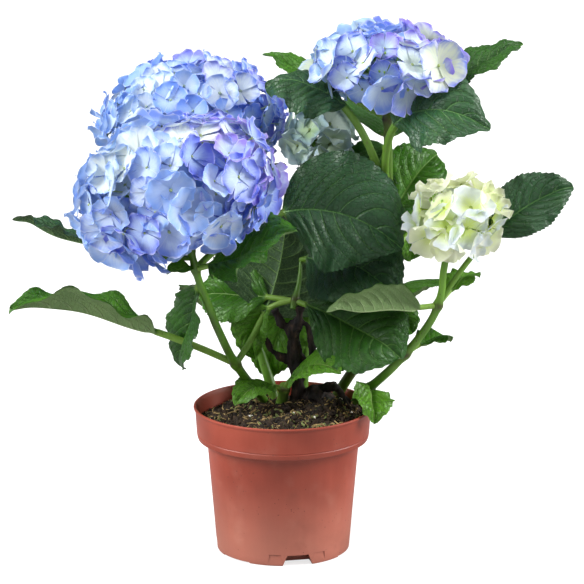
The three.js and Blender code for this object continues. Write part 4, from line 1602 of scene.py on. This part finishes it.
@dataclass(frozen=True)
class LitterFinish:
    """A plain crumbly finish between two colours."""

    name: str
    dark: str
    light: str
    roughness: float = 0.95

    def make(self) -> bpy.types.Material:
        """Builds the material."""
        s = Surface(self.name)
        grain = s.noise(s.place, 420.0, 4.0)
        colour = s.ramp(s.noise(s.place, 170.0, 3.0), [(0.3, self.dark), (0.7, self.light)])
        return s.finish(colour, self.roughness, s.bump(grain, 0.6, 0.0008))


@dataclass(frozen=True)
class Compost:
    """Loose compost that mounds round the old wood, under crumbs, fibres, moss and white grains."""

    node: str = "compost"
    rings: int = 52
    sides: int = 150
    depth: float = 0.008
    rim_gap: float = 0.0012
    rise: float = 0.0035
    rim_drop: float = 0.003
    mound_height: float = 0.010
    mound_place: tuple[float, float] = (0.032, 0.002)
    mound_spread: tuple[float, float] = (0.02, 0.024)
    seed: int = 5

    DENSEST = 400000.0
    LEVELEST = 0.4
    PATCHES = 60.0
    SIZES = (0.45, 1.25)
    THINNEST = 0.0002

    def ground(self) -> bpy.types.Object:
        """A closed disc of compost with an uneven top."""
        low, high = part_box(self.node)
        reach, level = (high.x - low.x) / 2 - 0.0002, high.z - self.rim_gap
        turn = turns(self.sides)
        share = np.linspace(1, 0.02, self.rings)[:, None] ** 0.85
        x, y = reach * share * np.cos(turn), reach * share * np.sin(turn)
        z = level + self.rise * (1 - share ** 2) + self.unevenness(x, y) * smooth(1, 0.93, share)
        off = [(value - middle) / spread for value, middle, spread in
               zip((x, y), self.mound_place, self.mound_spread)]
        z += self.mound_height * np.exp(-(off[0] ** 2 + off[1] ** 2))
        z -= self.rim_drop * smooth(0.8, 1, share)
        top = np.stack([x, y, z], axis=-1)
        wall = top[:1] * np.array([0.97, 0.97, 0]) + np.array([0, 0, level - self.depth])
        points = np.concatenate([wall, top]).reshape(-1, 3)
        ends = np.array([[0, 0, level - self.depth], points[-self.sides:].mean(axis=0)])
        return put("compost_ground", make_mesh("compost", np.concatenate([points, ends]),
                                               tube_faces(self.rings + 1, self.sides)))

    @staticmethod
    def unevenness(x: np.ndarray, y: np.ndarray) -> np.ndarray:
        """Lumps and hollows of the ground, in metres."""
        z = np.zeros_like(x)
        chance = np.random.default_rng(8)
        for size in (0.05, 0.03, 0.018, 0.011, 0.007, 0.0045):
            for _ in range(4):
                way, swing = chance.uniform(0, 6.3), chance.uniform(0, 6.3)
                wave = (x * math.cos(way) + y * math.sin(way)) * math.tau / size
                z += 0.028 * size * np.sin(wave + swing + 1.3 * np.sin(0.7 * wave + way))
        return z

    def bit(self, crumb: Crumb) -> bpy.types.Object:
        """One low-sided bit of litter, outside the scene."""
        name, _, length, thick = crumb.value
        chance = np.random.default_rng(len(name))
        rows, sides = (5, 4) if crumb is Crumb.FIBRE else (4, 6)
        run = np.linspace(-0.5, 0.5, rows)
        line = length * np.stack([run, 0.18 * np.sin(5 * run), 0.1 * np.cos(4 * run)], axis=1)
        swell = np.sqrt(np.clip(1.02 - (2 * run) ** 2, 0.05, 1))
        uneven = 1 + 0.25 * chance.standard_normal((rows, sides))
        radii = np.maximum(0.5 * thick * length * swell[:, None] * uneven, self.THINNEST)
        return bpy.data.objects.new(name + "_bit", make_mesh(name, *tube(line, radii, sides)))

    def scatter(self, crumb: Crumb, finish: LitterFinish, lowest: float, sink: float) -> Growth:
        """The tree that strews one kind of litter over the ground."""
        name, spacing, length, _ = crumb.value
        low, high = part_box(self.node)
        g = Growth(name, {"Bit": self.bit(crumb), "Spacing": spacing, "Sink": sink,
                          "Lowest": lowest, "Reach": (high.x - low.x) / 2 - 0.62 * length,
                          "Seed": self.seed + len(name), "Material": finish.make()})
        i = g.inputs
        place = g.field("Position")
        off = g.vector("LENGTH", g.vector("MULTIPLY", place, (1.0, 1.0, 0.0)))
        level = g.math("GREATER_THAN", g.parts(g.field("Normal"))[2], self.LEVELEST)
        wanted = g.times(level, g.math("LESS_THAN", off, i["Reach"]))
        patches = g.noise(place, self.PATCHES, 2.0)
        wanted = g.times(wanted, g.math("GREATER_THAN", patches, i["Lowest"]))
        points, _, rotation = g.strewn(i["Geometry"], wanted, i["Spacing"], self.DENSEST, i["Seed"])
        bits = g.add("GeometryNodeInstanceOnPoints", {
            "Points": points, "Scale": g.random(*self.SIZES, 6),
            "Instance": g.add("GeometryNodeObjectInfo", {"Object": i["Bit"]}).outputs["Geometry"],
            "Rotation": g.turned(rotation, g.random(-0.5, 0.5, 3), g.random(-0.7, 0.7, 4),
                                 g.random(0, math.tau, 5))}).outputs[0]
        drop = g.whole(0.0, 0.0, g.times(i["Sink"], -1.0))
        sunk = g.add("GeometryNodeTranslateInstances",
                     {0: bits, "Translation": drop, "Local Space": False}).outputs[0]
        g.end(sunk, i["Material"])
        return g

    def build(self) -> None:
        """Builds the ground and strews its litter."""
        ground = self.ground()
        litter = ((Crumb.CRUMB, LitterFinish("crumbs", "0E0905", "3C2C1C"), 0.3, 0.0002),
                  (Crumb.FIBRE, LitterFinish("fibres", "5A4428", "B89E68"), 0.45, -0.0006),
                  (Crumb.MOSS, LitterFinish("moss", "485226", "8E985C"), 0.5, 0.0),
                  (Crumb.PERLITE, LitterFinish("white_grains", "D8D2C8", "F6F2EA"), 0.54, 0.0))
        for crumb, finish, lowest, sink in litter:
            growth = self.scatter(crumb, finish, lowest, sink)
            piece = growth.run(put(crumb.value[0] + "_ground", ground.data.copy()), crumb.value[0])
            hand_over(piece, "compost")
        for obj in [o for o in bpy.data.objects if not o.users_collection]:
            bpy.data.objects.remove(obj)
        ground.name = "compost_top"
        ground.data.materials.append(LitterFinish("compost", "140E09", "3A2C1C").make())
        hand_over(ground, "compost", self.node)


# ---- studio -------------------------------------------------------------------------------------


@dataclass(frozen=True)
class Light:
    """A soft light from far away, in the direction of a place."""

    name: str
    place: Triple
    spread: float
    strength: float

    def build(self) -> None:
        """Hangs the light."""
        data = bpy.data.lights.new(self.name, "SUN")
        data.angle, data.energy = math.radians(self.spread), self.strength
        light = bpy.data.objects.new(self.name, data)
        light.location = self.place
        light.rotation_euler = (-Vector(self.place)).to_track_quat("-Z", "Y").to_euler()
        bpy.context.scene.collection.objects.link(light)


@dataclass(frozen=True)
class Studio:
    """A floor that the camera sees as white, a pale sky, three soft lights and the camera."""

    camera_place: Triple = (0.007, -3.0, 0.98)
    camera_pitch: float = 14.45
    lens: float = 246.0
    sensor: float = 36.0
    farthest: float = 100.0
    floor_side: float = 60.0
    floor_grey: float = 0.36
    sky: float = 0.24
    glow: float = 0.75
    lights: tuple[Light, ...] = (Light("key", (-1.3, -0.42, 0.88), 34.0, 4.2),
                                 Light("side", (1.3, -0.1, 0.7), 34.0, 4.0),
                                 Light("top", (-0.1, -0.35, 1.0), 60.0, 1.1))

    def build(self) -> None:
        """Builds the studio."""
        self.floor()
        scene = bpy.context.scene
        scene.world = bpy.data.worlds.new("studio")
        scene.world.use_nodes = True
        background = scene.world.node_tree.nodes["Background"].inputs
        background["Color"].default_value = (1, 1, 1, 1)
        background["Strength"].default_value = self.sky
        for light in self.lights:
            light.build()
        camera = bpy.data.objects.new("camera", bpy.data.cameras.new("camera"))
        camera.data.lens = self.lens
        camera.data.sensor_width = self.sensor
        camera.data.clip_end = self.farthest
        camera.location = self.camera_place
        camera.rotation_euler = (math.radians(90 - self.camera_pitch), 0, 0)
        scene.collection.objects.link(camera)
        scene.camera = camera
        scene.view_settings.view_transform = "Standard"

    def floor(self) -> None:
        """Lays a grey floor that glows for the camera alone, so that it lights nothing."""
        half = self.floor_side / 2
        corners = np.array([[-half, -half, 0], [half, -half, 0], [half, half, 0], [-half, half, 0]])
        s = Surface("floor")
        grey = s.add("ShaderNodeBsdfDiffuse", {"Color": (*(self.floor_grey,) * 3, 1)}).outputs[0]
        seen = s.add("ShaderNodeLightPath").outputs["Is Camera Ray"]
        lit = s.add("ShaderNodeEmission", {"Strength": s.times(seen, self.glow)}).outputs[0]
        both = s.add("ShaderNodeAddShader", {0: grey, 1: lit}).outputs[0]
        s.add("ShaderNodeOutputMaterial", {"Surface": both})
        mesh = make_mesh("floor", corners, [np.array([[0, 1, 2, 3]])])
        put("floor", mesh, s.material)


def main() -> None:
    """Builds the plant on its frame."""
    logging.basicConfig(level=logging.INFO, format="%(name)s %(message)s")
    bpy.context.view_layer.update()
    Studio().build()
    Pot().build()
    Compost().build()
    WoodyBase().build()
    build_stems()
    build_leaves()
    for head in HEADS:
        head.build()


if __name__ == "__main__":
    main()
